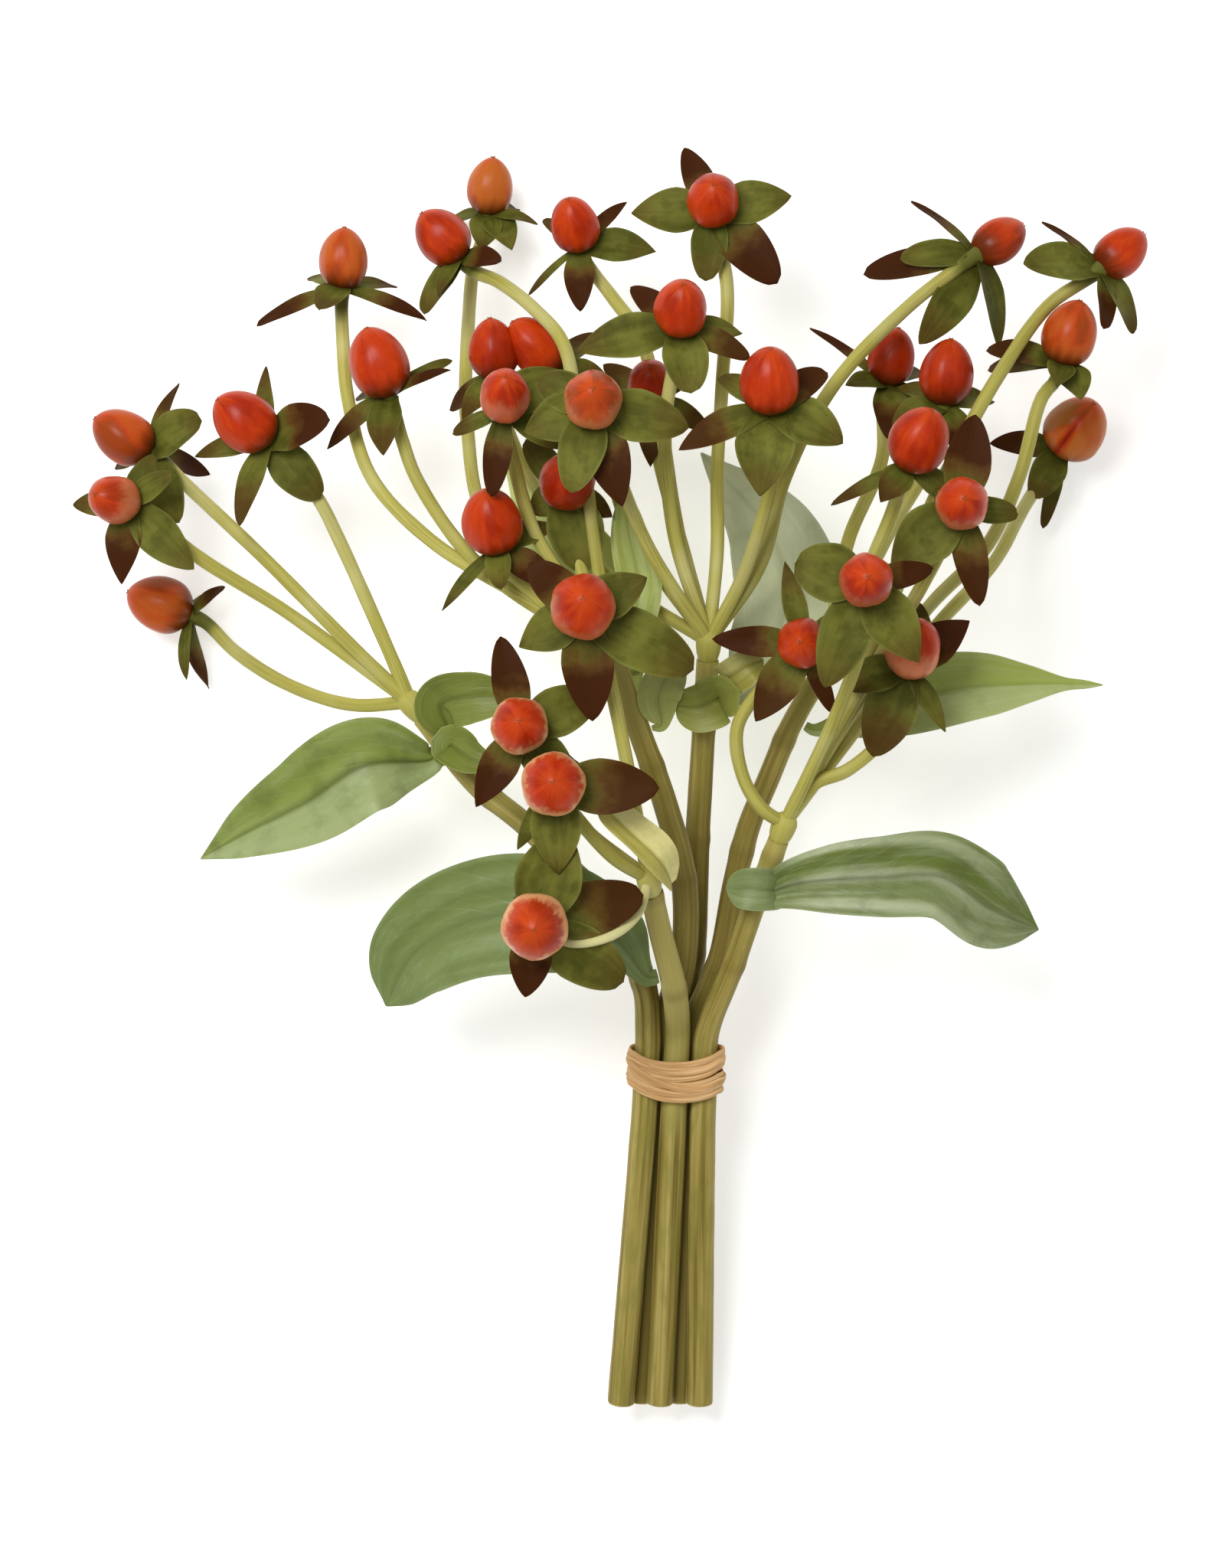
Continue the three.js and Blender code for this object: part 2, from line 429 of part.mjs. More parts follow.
// The stalk runs from inside the berry's base down to the middle of the spray's knuckle.
function stalkOf(calyx, axis, route, fork) {
  const points = [stalkSunk, -stalkNeck].map((off) => calyx.clone().addScaledVector(axis, off));
  route.forEach((xyz) => points.push(vector(xyz)));
  points.push(fork.clone());
  const curve = new THREE.CatmullRomCurve3(points, false, 'centripetal');
  const swell = swellLength / curve.getLength();
  const radiusAt = (along) => (
    stalkRadius + (stalkCollar - stalkRadius) * Math.max(0, 1 - along / swell)
  );
  return bar(curve, radiusAt, 5, 3 + route.length);
}

// A spray is one grown piece: knuckle, stalks, berries and their sepals.
function spray(berries, fork) {
  const knuckle = new THREE.SphereGeometry(knuckleRadius, 8, 6);
  knuckle.translate(fork.x, fork.y, fork.z);
  const solids = [toSolid(knuckle)];
  berries.forEach(({ at, axis: lean, long, wide, sepals, stalk }) => {
    const axis = vector(lean).normalize();
    const calyx = vector(at).addScaledVector(axis, -berrySeat * berryLength * long);
    solids.push(berry(calyx, axis, long, wide), stalkOf(calyx, axis, stalk, fork));
    solids.push(calyxStar(calyx, axis, sepals.map(vector), long));
  });
  return join(solids);
}

// A stem runs straight from its cut end through the tie, then along its route to the fork.
function stemCurve(name) {
  const [across, row] = places[name];
  const along = tieCentre.clone().sub(cutEnd).normalize();
  const offset = (pitch) => new THREE.Vector3(across * pitch.across, 0, row * pitch.row);
  const points = [cutEnd.clone().add(offset(cutPitch))];
  [-1, 0, 1].forEach((step) => {
    points.push(tieCentre.clone().add(offset(tiePitch)).addScaledVector(along, step * straightRun));
  });
  stemRoutes[name].forEach((xyz) => points.push(vector(xyz)));
  return new THREE.CatmullRomCurve3(points, false, 'centripetal');
}

function stemRadius(along) {
  const tieAt = 0.5;
  if (along < tieAt) return stemRadiusCut + (stemRadiusTie - stemRadiusCut) * (along / tieAt);
  return stemRadiusTie + (stemRadiusTop - stemRadiusTie) * ((along - tieAt) / (1 - tieAt));
}

// The spray's knuckle sits a seat gap beyond the stem's top.
function forkOf(curve) {
  return curve.getPointAt(1).addScaledVector(curve.getTangentAt(1), knuckleRadius + seatGap);
}

function leaf({ stem, at, outline, width, fold, faces, spine }) {
  const carrier = stemCurve(stem);
  const foot = carrier.getPointAt(at);
  const toward = vector(spine[0]).sub(foot);
  toward.addScaledVector(carrier.getTangentAt(at), -toward.dot(carrier.getTangentAt(at))).normalize();
  const root = foot.clone().addScaledVector(toward, stemRadius(at) + seatGap);
  const clear = root.clone().addScaledVector(toward, leafClear);
  const curve = new THREE.CatmullRomCurve3([root, clear, ...spine.map(vector)], false, 'centripetal');
  const faceAt = (along) => vector(faces[0]).lerp(vector(faces[1]), along).normalize();
  const columns = [
    { across: -1, rise: fold, thick: 0 },
    { across: -0.5, rise: fold * 0.42, thick: 0.8 },
    { across: 0, rise: 0, thick: 1 },
    { across: 0.5, rise: fold * 0.42, thick: 0.8 },
    { across: 1, rise: fold, thick: 0 },
  ];
  return blade(curve, outlines[outline], columns, bladeFrame(curve, faceAt), width / 2, leafThickness);
}

// The tie is raffia wound twice round the three corners of the bundle.
function tie() {
  const inner = stemRadiusTie + strand.slack;
  const corners = ['right', 'left', 'centre'].map((name) => (
    new THREE.Vector2(places[name][0] * tiePitch.across, places[name][1] * tiePitch.row)
  ));
  const around = (radius) => {
    const points = [];
    corners.forEach((corner, i) => {
      const before = corners[(i + 2) % 3];
      const after = corners[(i + 1) % 3];
      const from = corner.clone().sub(before).angle() - Math.PI / 2;
      let turn = after.clone().sub(corner).angle() - Math.PI / 2 - from;
      if (turn < 0) turn += Math.PI * 2;
      for (let step = 0; step <= 5; step += 1) {
        const angle = from + (turn * step) / 5;
        const out = new THREE.Vector2(Math.cos(angle), Math.sin(angle));
        points.push(corner.clone().addScaledVector(out, radius));
      }
    });
    return points;
  };
  const along = tieCentre.clone().sub(cutEnd).normalize();
  const stand = new THREE.Quaternion().setFromUnitVectors(new THREE.Vector3(0, 0, 1), along);
  const up = new THREE.Vector3(0, 1, 0).applyQuaternion(stand);
  const upright = new THREE.Vector3(0, 0, 1).projectOnPlane(along).normalize();
  const roll = new THREE.Quaternion().setFromUnitVectors(up, upright);
  const rings = [-1, 1].map((end) => {
    const shape = new THREE.Shape(around(inner + strand.thickness));
    shape.holes.push(new THREE.Path(around(inner).reverse()));
    const ring = new THREE.ExtrudeGeometry(shape, { depth: strand.width, steps: 1, bevelEnabled: false });
    ring.translate(0, 0, -strand.width / 2);
    ring.rotateY(end * strand.slant);
    ring.translate(0, 0, (end * strand.apart) / 2);
    ring.applyQuaternion(stand).applyQuaternion(roll);
    ring.translate(tieCentre.x, tieCentre.y, tieCentre.z);
    return toSolid(ring);
  });
  return join(rings);
}

function addMesh(group, name, solid, color, roughness) {
  const material = new THREE.MeshStandardMaterial({ color, roughness, metalness: 0 });
  const mesh = new THREE.Mesh(toGeometry(solid), material);
  mesh.name = name;
  group.add(mesh);
}

const bunch = new THREE.Group();
Object.keys(places).forEach((name) => {
  const curve = stemCurve(name);
  addMesh(bunch, `stem_${name}`, bar(curve, stemRadius, 8, 12), colours.stem, 0.6);
  addMesh(bunch, `spray_${name}`, spray(sprays[name], forkOf(curve)), colours.spray, 0.45);
});
Object.entries(leaves).forEach(([name, made]) => {
  addMesh(bunch, name, leaf(made), made.pale ? colours.leafPale : colours.leaf, 0.55);
});
addMesh(bunch, 'raffia_tie', tie(), colours.raffia, 0.8);

export default bunch;
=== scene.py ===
import random
from math import atan2, cos, exp, pi, radians, sin, sqrt, tau

import bpy
import bmesh
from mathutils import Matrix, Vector, noise


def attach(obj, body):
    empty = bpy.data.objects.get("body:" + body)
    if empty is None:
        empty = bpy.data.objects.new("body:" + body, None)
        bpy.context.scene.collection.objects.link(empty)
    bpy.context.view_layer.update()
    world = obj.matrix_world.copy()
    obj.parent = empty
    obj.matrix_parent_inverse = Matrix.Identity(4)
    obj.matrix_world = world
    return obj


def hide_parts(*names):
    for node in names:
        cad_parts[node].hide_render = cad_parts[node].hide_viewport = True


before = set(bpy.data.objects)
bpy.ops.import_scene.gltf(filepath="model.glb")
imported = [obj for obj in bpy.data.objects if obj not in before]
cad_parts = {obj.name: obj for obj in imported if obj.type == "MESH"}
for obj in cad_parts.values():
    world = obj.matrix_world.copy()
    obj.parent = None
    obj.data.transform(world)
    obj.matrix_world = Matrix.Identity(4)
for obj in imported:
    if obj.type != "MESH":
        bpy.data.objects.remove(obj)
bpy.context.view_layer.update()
mm = 0.001
print("frame loaded:", len(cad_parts), "solids")

# The bundle, as the solids have it: where the stems lie at their cut ends and in the tie.
bundle = {
    "cutEnd": Vector((10.3, -134.3, 7.7)),
    "tieCentre": Vector((13.5, -60.9, 26)),
    "cutPitch": (8.5, 4.7),  # across, and from one row to the next
    "tiePitch": (6.25, 5.42),
    "straightRun": 8,
    "radii": (3.0, 2.9, 2.35),  # of a stem at its cut end, in the tie, and below its spray
    "knuckle": 2.7,
    "seatGap": 0.3,
}
bundle["along"] = (bundle["tieCentre"] - bundle["cutEnd"]).normalized()

places = {
    "left": (-1, 1), "front": (0, 1), "right": (1, 1),
    "upper_left": (-0.5, 0), "inner_right": (0.5, 0), "centre": (0, -1),
}

stemRoutes = {
    "left": [(6.5, -42, 36.5), (-3, -25, 41), (-18, -9, 41), (-29, 0, 39), (-41, 15, 38)],
    "front": [(13, -43, 45), (10, -31, 54), (8, -22, 61)],
    "right": [(26, -37, 42), (30, -25, 47), (35, -11, 53)],
    "upper_left": [(15, -37, 39), (15, -20, 45), (11, -4, 50), (6, 10, 55), (0, 27, 58)],
    "inner_right": [(23, -37, 33), (26, -21, 34), (29, -9, 36), (33, 1, 39), (38, 13, 43), (45, 25, 46)],
    "centre": [(17, -37, 29), (18, -12, 37), (19, 7, 45), (20, 27, 52)],
}

# The berries of each spray. at is a berry's middle, axis points to its tip, and size says how long
# and wide it is beside a usual one. stalk is its stalk's way to the fork, and each sepal has its
# tip, measured from the calyx, then its width and how maroon it is. tone runs from dark red at -1
# to olive gold at 1, and the sheen number says how pale the flesh below its tip is painted: a
# painted pale sheen, which from above shows as a pale rim. A few have a seam, or a stalk that is
# slim or has a shade of its own, which runs from pale at -1 to dark at 1.
sprays = {}
sprays["left"] = [
    {"at": (-104, 74, 34), "axis": (-0.8, 0.5, 0.3), "size": (1.08, 1.08), "tone": 0.3,
     "stalk": [(-91, 64, 33), (-75, 49, 36), (-55, 29, 38)], "sepals": [
         (6, 15, -2, 0.4, 0.7), (11.5, 6.5, 7, 1.2, 0.1), (6.5, -15, 3, 1.1, 0.1), (11.5, -4, -12, 0.6, 0.95),
         (-8, -3, -10, 0.6, 0.5)]},
    {"at": (-105, 60, 46), "axis": (-0.5, 0.1, 0.85), "size": (0.98, 0.98), "tone": 0.1, "rim": 0.3,
     "stalk": [(-89, 49, 38), (-70, 37, 34), (-52, 24, 36)], "sepals": [
         (-12.8, 0, -5, 0.8, 0.4), (-2, -17, -1, 0.9, 0.9), (13.5, -14, 2, 0.95, 0.1), (9.5, 6, 5, 0.8, 0.1),
         (5.5, 10, 2, 0.8, 0.15)]},
    {"at": (-98, 39, 12.2), "axis": (-0.9, 0.35, 0.15), "size": (1.12, 1.18), "tone": 0.4,
     "stalk": [(-82, 29, 13), (-71, 22, 18), (-56, 17, 29)], "sepals": [
         (8, 6, 8, 0.4, 0.8), (-0.5, -14, 5, 0.4, 0.15), (3.5, -15.5, -6, 0.5, 0.8), (3, 5, -11, 0.8, 0.4),
         (-5, 6, -7, 0.7, 0.4)]},
    {"at": (-77, 76, 52), "axis": (-0.7, 0.55, 0.45), "size": (1.14, 1.18),
     "stalk": [(-62, 60, 46), (-58, 52, 43), (-50, 34, 40)], "sepals": [
         (-1, 16, -4, 0.45, 0.4), (13, 4, 7, 1.15, 0.9), (10.5, -12, -1, 0.95, 0.15), (-6, -18, 3, 0.55, 0.5),
         (-16, -3, -8, 0.5, 0.4)]},
]
sprays["front"] = [
    {"at": (-6, 36, 90), "axis": (0, 0.15, 0.98), "size": (1.2, 1.28), "rim": 0.3,
     "stalk": [(-2, 26, 78), (1, 14, 73), (6, -12, 66)], "sepals": [
         (-13, -7, -1, 1, 0.05), (2, -22, -2, 0.9, 0.9), (22.5, -11.5, -3, 1, 0.15), (-11, 10, 1, 0.9, 0.85),
         (13, 7, 2, 1, 0.1)]},
    {"at": (-19, 12, 80), "axis": (0, 0.1, 0.99), "size": (1.1, 1.14), "rim": 0.9,
     "stalk": [(-16, 4, 70), (-6, -9, 66)], "sepals": [
         (-4, 19, 1, 0.7, 0.95), (-5, 2, -8, 0.7, 0.2), (-9, -16, 0, 0.75, 0.95), (16, 7, -3, 1, 0.2),
         (10, -12, -4, 1, 0.2)]},
    {"at": (-12, 0, 89), "axis": (0, 0.05, 1), "size": (1.15, 1.26), "rim": 0.95,
     "stalk": [(-8, -6, 76), (0, -15, 69)], "sepals": [
         (21.5, -0.5, 1, 1, 0.8), (1, -18, -1, 0.95, 0.1), (-7.5, -13, -5, 0.45, 0.1), (-4, 4, -8, 0.8, 0.3),
         (4, 5, -8, 0.8, 0.2)]},
    {"at": (-15.8, -29, 86), "axis": (0, -0.05, 1), "size": (1.2, 1.32), "tone": 0.08, "rim": 0.95,
     "slim": 0.68, "shade": -0.8,
     "stalk": [(-9, -32.5, 77), (-1, -31.5, 76), (5, -27, 70)], "sepals": [
         (-2, -15, -1, 0.9, 0.95), (22, 6, -7, 0.95, 0.75), (18, -12, -8, 1, 0.15), (6, 20, 1, 1.15, 0.1),
         (-4, 5, -8, 0.7, 0.2)]},
]
sprays["right"] = [
    {"at": (107, 112, 46), "axis": (0.75, 0.6, -0.2), "size": (0.96, 0.955),
     "stalk": [(92, 101, 48), (81, 86, 56), (73, 72, 60), (64, 53, 62), (53, 26, 61)], "sepals": [
         (-12, 10, -1, 0.4, 0.8), (-16.5, 0.5, 6, 1.15, 0.1), (0.5, -13, 4, 0.8, 0.85),
         (7, -13.5, -2, 1, 0.3), (2, 2, -14, 0.8, 0.3)]},
    {"at": (96, 94.4, 50), "axis": (0.25, 0.9, 0.3), "size": (1.08, 1.1), "tone": 0.4,
     "stalk": [(90, 81, 50), (85.5, 65, 50), (78.5, 50, 52), (66, 37, 56), (50, 15, 58)], "sepals": [
         (3.5, -8, 8, 1.1, 0.05), (-16, 2.5, 3, 0.7, 0.75), (-15, -1, -5, 0.6, 0.6), (3, 6, -9, 0.8, 0.3),
         (-2, -6, 12, 0.8, 0.1)]},
    {"at": (100.4, 77, 14.7), "axis": (0.4, 0.6, 0.6), "size": (1.15, 1.28), "tone": 0.75, "seam": 1,
     "stalk": [(89, 60, 17), (81, 47, 34), (66, 31, 52)], "sepals": [
         (-15.5, 1.5, 3, 0.65, 0.85), (-6.5, -10.5, 5, 0.95, 0.25), (-3.5, -16.5, -4, 0.35, 0.4),
         (6, 7, -7, 0.7, 0.4), (4, 9, -10, 0.8, 0.4)]},
    {"at": (71, 57, 86), "axis": (0, 0.1, 0.99), "size": (1.02, 1.04), "rim": 0.3,
     "stalk": [(66, 45, 72), (60, 34, 66), (49, 15, 60)], "sepals": [
         (3, 19, 1, 0.95, 1), (12, -1, -4, 0.8, 0.15), (4, -20, 0, 0.7, 0.85), (-14, -12, -1, 1.2, 0.1),
         (-4, 4, -8, 0.8, 0.2)]},
    {"at": (51, 41, 96), "axis": (0, 0.05, 1), "size": (1.04, 1.06), "rim": 0.2,
     "stalk": [(51, 30, 80), (46, 14, 68)], "sepals": [
         (14, 3, -2, 0.7, 0.95), (-14, 4, -1, 1.5, 0.05), (-8, -21, -2, 1.05, 0.15), (11, -16, -1, 1.05, 0.2),
         (2, 4, -9, 0.8, 0.2)]},
    {"at": (39, 29, 72), "axis": (-0.1, 0, 1), "size": (1, 1),
     "stalk": [(32, 21, 62), (26, 12, 60), (27, 2, 58), (31, -5, 57)], "sepals": [
         (-19, 1, 0, 0.65, 0.9), (-4, 17, 1, 0.55, 0.35), (-10, -16, -1, 0.9, 0.75), (12, 6, -4, 0.9, 0.2),
         (6, -14, -2, 0.5, 0.95)]},
    {"at": (62, 28, 70), "axis": (0.15, 0.6, 0.78), "size": (1.12, 1.1), "rim": 0.4,
     "stalk": [(62, 18, 61), (57, 10, 59), (49, 3, 58), (42, 0, 57)], "sepals": [
         (13, 10, 0, 0.9, 0.9), (8, -13, -1, 0.5, 0.15), (-7, -18, -2, 1, 0.5), (-13, -3.5, 1, 1, 0.3),
         (2, 14, -3, 1, 0.3)]},
]
sprays["upper_left"] = [
    {"at": (-26.5, 129.3, 14), "axis": (0.1, 0.95, 0.3), "size": (0.96, 0.95), "tone": 0.6,
     "stalk": [(-30, 113, 14), (-31, 102, 19), (-31, 77, 33), (-26, 54, 44)], "sepals": [
         (11, -3, 8, 0.45, 0.3), (5.5, -8.5, 8, 1.1, 0.1), (-1, -8.5, 8, 1.1, 0.15), (-10, -2, -9, 0.6, 0.3),
         (6, 2, -12, 0.7, 0.5)]},
    {"at": (-36, 116, 38), "axis": (-0.65, 0.72, 0.25), "size": (1, 1.06), "tone": 0.02,
     "stalk": [(-24, 106, 43), (-16, 99, 53), (-10, 91, 60), (-7, 74, 60), (-4, 52, 57)], "sepals": [
         (-8, -12, 4, 0.8, 0.3), (8.5, -1.5, 9, 0.8, 0.95), (-2, 5, -9, 0.6, 0.5), (-8, -6, -10, 0.5, 0.5),
         (-4.5, -9, 8, 0.6, 0.3)]},
    {"at": (-57, 111, 40), "axis": (0.05, 0.97, 0.25), "size": (1, 1), "tone": 0.45,
     "stalk": [(-57, 93, 40), (-56, 82, 41), (-51, 65, 44), (-38, 51, 50), (-22, 41, 56)], "sepals": [
         (-18, -8, 2, 0.4, 0.85), (18, -7, 3, 0.4, 0.9), (-8, 3, -12, 0.6, 0.2), (11, 1, -10, 0.5, 0.5),
         (-4, -6, 13, 0.9, 0.3)]},
    {"at": (-49, 88, 52), "axis": (-0.3, 0.9, 0.3), "size": (1.17, 1.2),
     "stalk": [(-44, 72, 50), (-41, 64, 50), (-30, 48, 54), (-16, 37, 57)], "sepals": [
         (13, 8, -6, 0.35, 0.15), (13, 5, 6, 0.3, 0.9), (-1, -13, 8, 0.8, 0.45), (-13, -11, -3, 0.5, 0.8),
         (-7, 0, -12, 0.6, 0.5)]},
    {"at": (-22, 79.4, 80), "axis": (0.05, 0.45, 0.88), "size": (1.05, 0.98), "rim": 0.22,
     "stalk": [(-21, 69, 66), (-16, 52, 59)], "sepals": [
         (-2.5, -17.5, 0, 0.6, 1), (-10.5, -4.5, -2, 0.5, 0.4), (12, -7, -7, 0.7, 0.3),
         (12, 8.5, -6, 1.1, 0.1), (-3, 4, -10, 0.8, 0.3)]},
    {"at": (-25, 54.2, 66), "axis": (-0.15, 0.75, 0.65), "size": (1.15, 1.2), "tone": -0.05,
     "stalk": [(-22, 45, 58), (-12, 36, 59)], "sepals": [
         (12.5, -8.5, 4, 0.7, 1), (-11.5, -13, 1, 0.3, 0.2), (12, 5, -6, 0.7, 0.3), (-5, 4, -8, 0.7, 0.3),
         (1, -9, 9, 0.7, 0.2)]},
    {"at": (-9.4, 62.9, 63), "axis": (0.1, 0.3, 0.95), "size": (1.1, 1.12), "tone": -0.25,
     "stalk": [(-9, 53, 55), (-5, 40, 57)], "sepals": [
         (4.5, -16.5, 0, 1.2, 0.1), (-7, -4, -2, 0.9, 0.2), (10, -5, -2, 0.8, 0.5), (9, 11, -5, 0.8, 0.3),
         (-8, 11, -4, 0.8, 0.3)]},
]
sprays["inner_right"] = [
    {"at": (59, 90, 43), "axis": (0.2, 0.9, 0.3), "size": (0.95, 0.95), "tone": -0.5,
     "stalk": [(57, 69, 41), (50, 52, 41), (47, 38, 43)], "sepals": [
         (-16, 12, -1, 0.3, 0.9), (-9, -1, 10, 0.8, 0.15), (0, -12, 8, 0.9, 0.8), (10, -8, 3, 0.8, 0.3),
         (8, 3, -11, 0.7, 0.4)]},
    {"at": (70, 85.8, 53), "axis": (0.1, 0.95, 0.25), "size": (1.08, 1.08), "tone": -0.2,
     "stalk": [(67, 68, 46), (59, 54, 44), (51, 38, 45)], "sepals": [
         (-11, -5, 8, 0.9, 0.3), (4, -11, 7, 0.9, 0.8), (-3, -7, -11, 0.8, 0.3), (11, 1, -7, 0.9, 0.3),
         (-9, 4, -8, 0.8, 0.3)]},
    {"at": (63, 70.5, 74), "axis": (0.3, 0.75, 0.6), "size": (1.12, 1.2), "tone": -0.05,
     "stalk": [(58, 56, 60), (51, 39, 51)], "sepals": [
         (-16, -8, 2, 0.3, 0.5), (-6, -7.5, 5, 0.9, 0.5), (10, -8, -2, 0.8, 0.4), (8, 4, -11, 0.7, 0.3),
         (-2, 6, -8, 0.7, 0.3)]},
]
sprays["centre"] = [
    {"at": (-8, 118, 44), "axis": (-0.2, 0.7, 0.7), "size": (1, 0.98),
     "stalk": [(0, 103, 40), (6, 94, 44), (10, 76, 48), (14, 52, 50)], "sepals": [
         (-8, 6.5, -6, 0.55, 0.5), (10, 10, -3, 0.45, 0.85), (16, -1, 0, 0.95, 0.1), (0, -14, 4, 0.85, 0.9),
         (-11, -10.5, 1, 0.22, 0.4)]},
    {"at": (21, 122, 56), "axis": (0, 0.35, 0.94), "size": (1, 1.06),
     "stalk": [(24, 105, 50), (23, 84, 52), (22, 65, 51), (22, 49, 51)], "sepals": [
         (-6, 14, -3, 0.8, 0.9), (-17, 0, -1, 1.1, 0.1), (16.5, 3.5, 0, 1.05, 0.1), (13.5, -15, 2, 1, 0.9),
         (-1.5, -14.5, 2, 1, 0.2)]},
    {"at": (-4, 78, 88), "axis": (0, 0.2, 0.98), "size": (1.1, 1.14), "tone": 0.3, "rim": 0.35,
     "stalk": [(0, 66, 76), (8, 48, 64)], "sepals": [
         (-11, 6, -1, 1.15, 0.1), (19.5, -4, -1, 1, 0.15), (-14, -5, 0, 1.15, 0.1), (6, -20, 0, 0.85, 0.95),
         (-4.5, -17.5, 4, 0.9, 0)]},
    {"at": (14, 97.5, 76), "axis": (0.05, 0.6, 0.8), "size": (1.05, 1.04),
     "stalk": [(13, 88, 66), (11, 74, 60), (13, 52, 55)], "sepals": [
         (-10, 9, -4, 0.8, 0.9), (-21, -4.5, 0, 0.95, 0.15), (13, -0.5, -5, 0.7, 0.1),
         (14.5, -6, -1, 0.65, 0.7), (2.5, -13.5, 4, 1.2, 0.1)]},
    {"at": (32, 82, 83), "axis": (0, 0.8, 0.6), "size": (1.12, 1.18),
     "stalk": [(33, 64, 70), (31, 55, 64), (27, 43, 57)], "sepals": [
         (12, 8, -3, 0.8, 0.85), (15, -7, 2, 1.1, 0.15), (-2, -18, 6, 1.1, 0.2), (-18.5, -8.5, 2, 0.65, 0.74),
         (-10, 7, -7, 0.7, 0.2)]},
    {"at": (81, 114, 50), "axis": (0.75, 0.5, -0.3), "size": (0.98, 0.9), "tone": 0.12,
     "stalk": [(62, 100, 55), (46, 83, 59), (36, 64, 58), (31, 46, 54)], "sepals": [
         (-13.5, 11.5, -2, 0.4, 0.8), (-16, -1, 1.5, 0.9, 0.1), (-23.5, -4, -2, 0.8, 0.9),
         (-12, -18.5, -0.5, 1, 0.3), (4.5, -19, -3, 0.9, 0.05)]},
    {"at": (-25, 91, 50), "axis": (-0.1, 0.95, 0.3), "size": (1, 1), "tone": -0.1,
     "stalk": [(-23, 77, 44), (-16, 62, 43), (0, 43, 46)], "sepals": [
         (-10, -6, -8, 0.8, 0.7), (8, -7, -9, 0.8, 0.7), (-7, -9, 6, 0.8, 0.5), (5, -9, 8, 0.8, 0.5),
         (0, 2, -13, 0.8, 0.5)]},
    {"at": (-16, 91.8, 49), "axis": (-0.65, 0.65, 0.35), "size": (1.1, 1.05),
     "stalk": [(-3, 77, 46), (3, 55, 49)], "sepals": [
         (9, 8, -8, 0.8, 0.7), (11, -3, 6, 0.8, 0.5), (-2, -12, 6, 0.8, 0.7), (-9, -8, -6, 0.8, 0.5),
         (2, 3, -14, 0.8, 0.5)]},
    {"at": (8, 84, 48), "axis": (0, 0.5, 0.8), "size": (0.95, 0.95), "tone": -0.4,
     "stalk": [(10, 68, 44), (15, 49, 47)], "sepals": [
         (-10, 8, -5, 0.8, 0.6), (10, 8, -5, 0.8, 0.6), (12, -6, 1, 0.8, 0.6), (-12, -5, 0, 0.8, 0.6),
         (0, -14, 2, 0.8, 0.6)]},
]

# A blade's outlines: (share of its length, share of its width).
outlines = {
    "even": [(0, 0.12), (0.1, 0.3), (0.24, 0.78), (0.42, 1), (0.62, 0.9), (0.8, 0.56), (0.92, 0.24),
             (1, 0.02)],
    "drawnOut": [(0, 0.12), (0.1, 0.3), (0.24, 0.78), (0.42, 1), (0.6, 0.86), (0.74, 0.52), (0.86, 0.2),
                 (0.94, 0.12), (1, 0.02)],
    "broadBase": [(0, 0.2), (0.1, 0.55), (0.22, 0.92), (0.4, 1), (0.6, 0.82), (0.8, 0.5), (0.92, 0.22),
                  (1, 0.02)],
    "blunt": [(0, 0.12), (0.1, 0.3), (0.24, 0.76), (0.42, 1), (0.62, 0.96), (0.8, 0.78), (0.93, 0.46),
              (1, 0.03)],
    "strap": [(0, 0.35), (0.12, 0.8), (0.3, 1), (0.6, 0.98), (0.8, 0.9), (0.93, 0.62), (1, 0.03)],
    "broadTip": [(0, 0.3), (0.1, 0.5), (0.25, 0.7), (0.45, 0.82), (0.62, 0.88), (0.76, 0.86), (0.9, 0.46),
                 (1, 0.02)],
    "lobe": [(0, 0.8), (0.25, 0.95), (0.55, 1), (0.8, 0.82), (0.94, 0.45), (1, 0.03)],
}
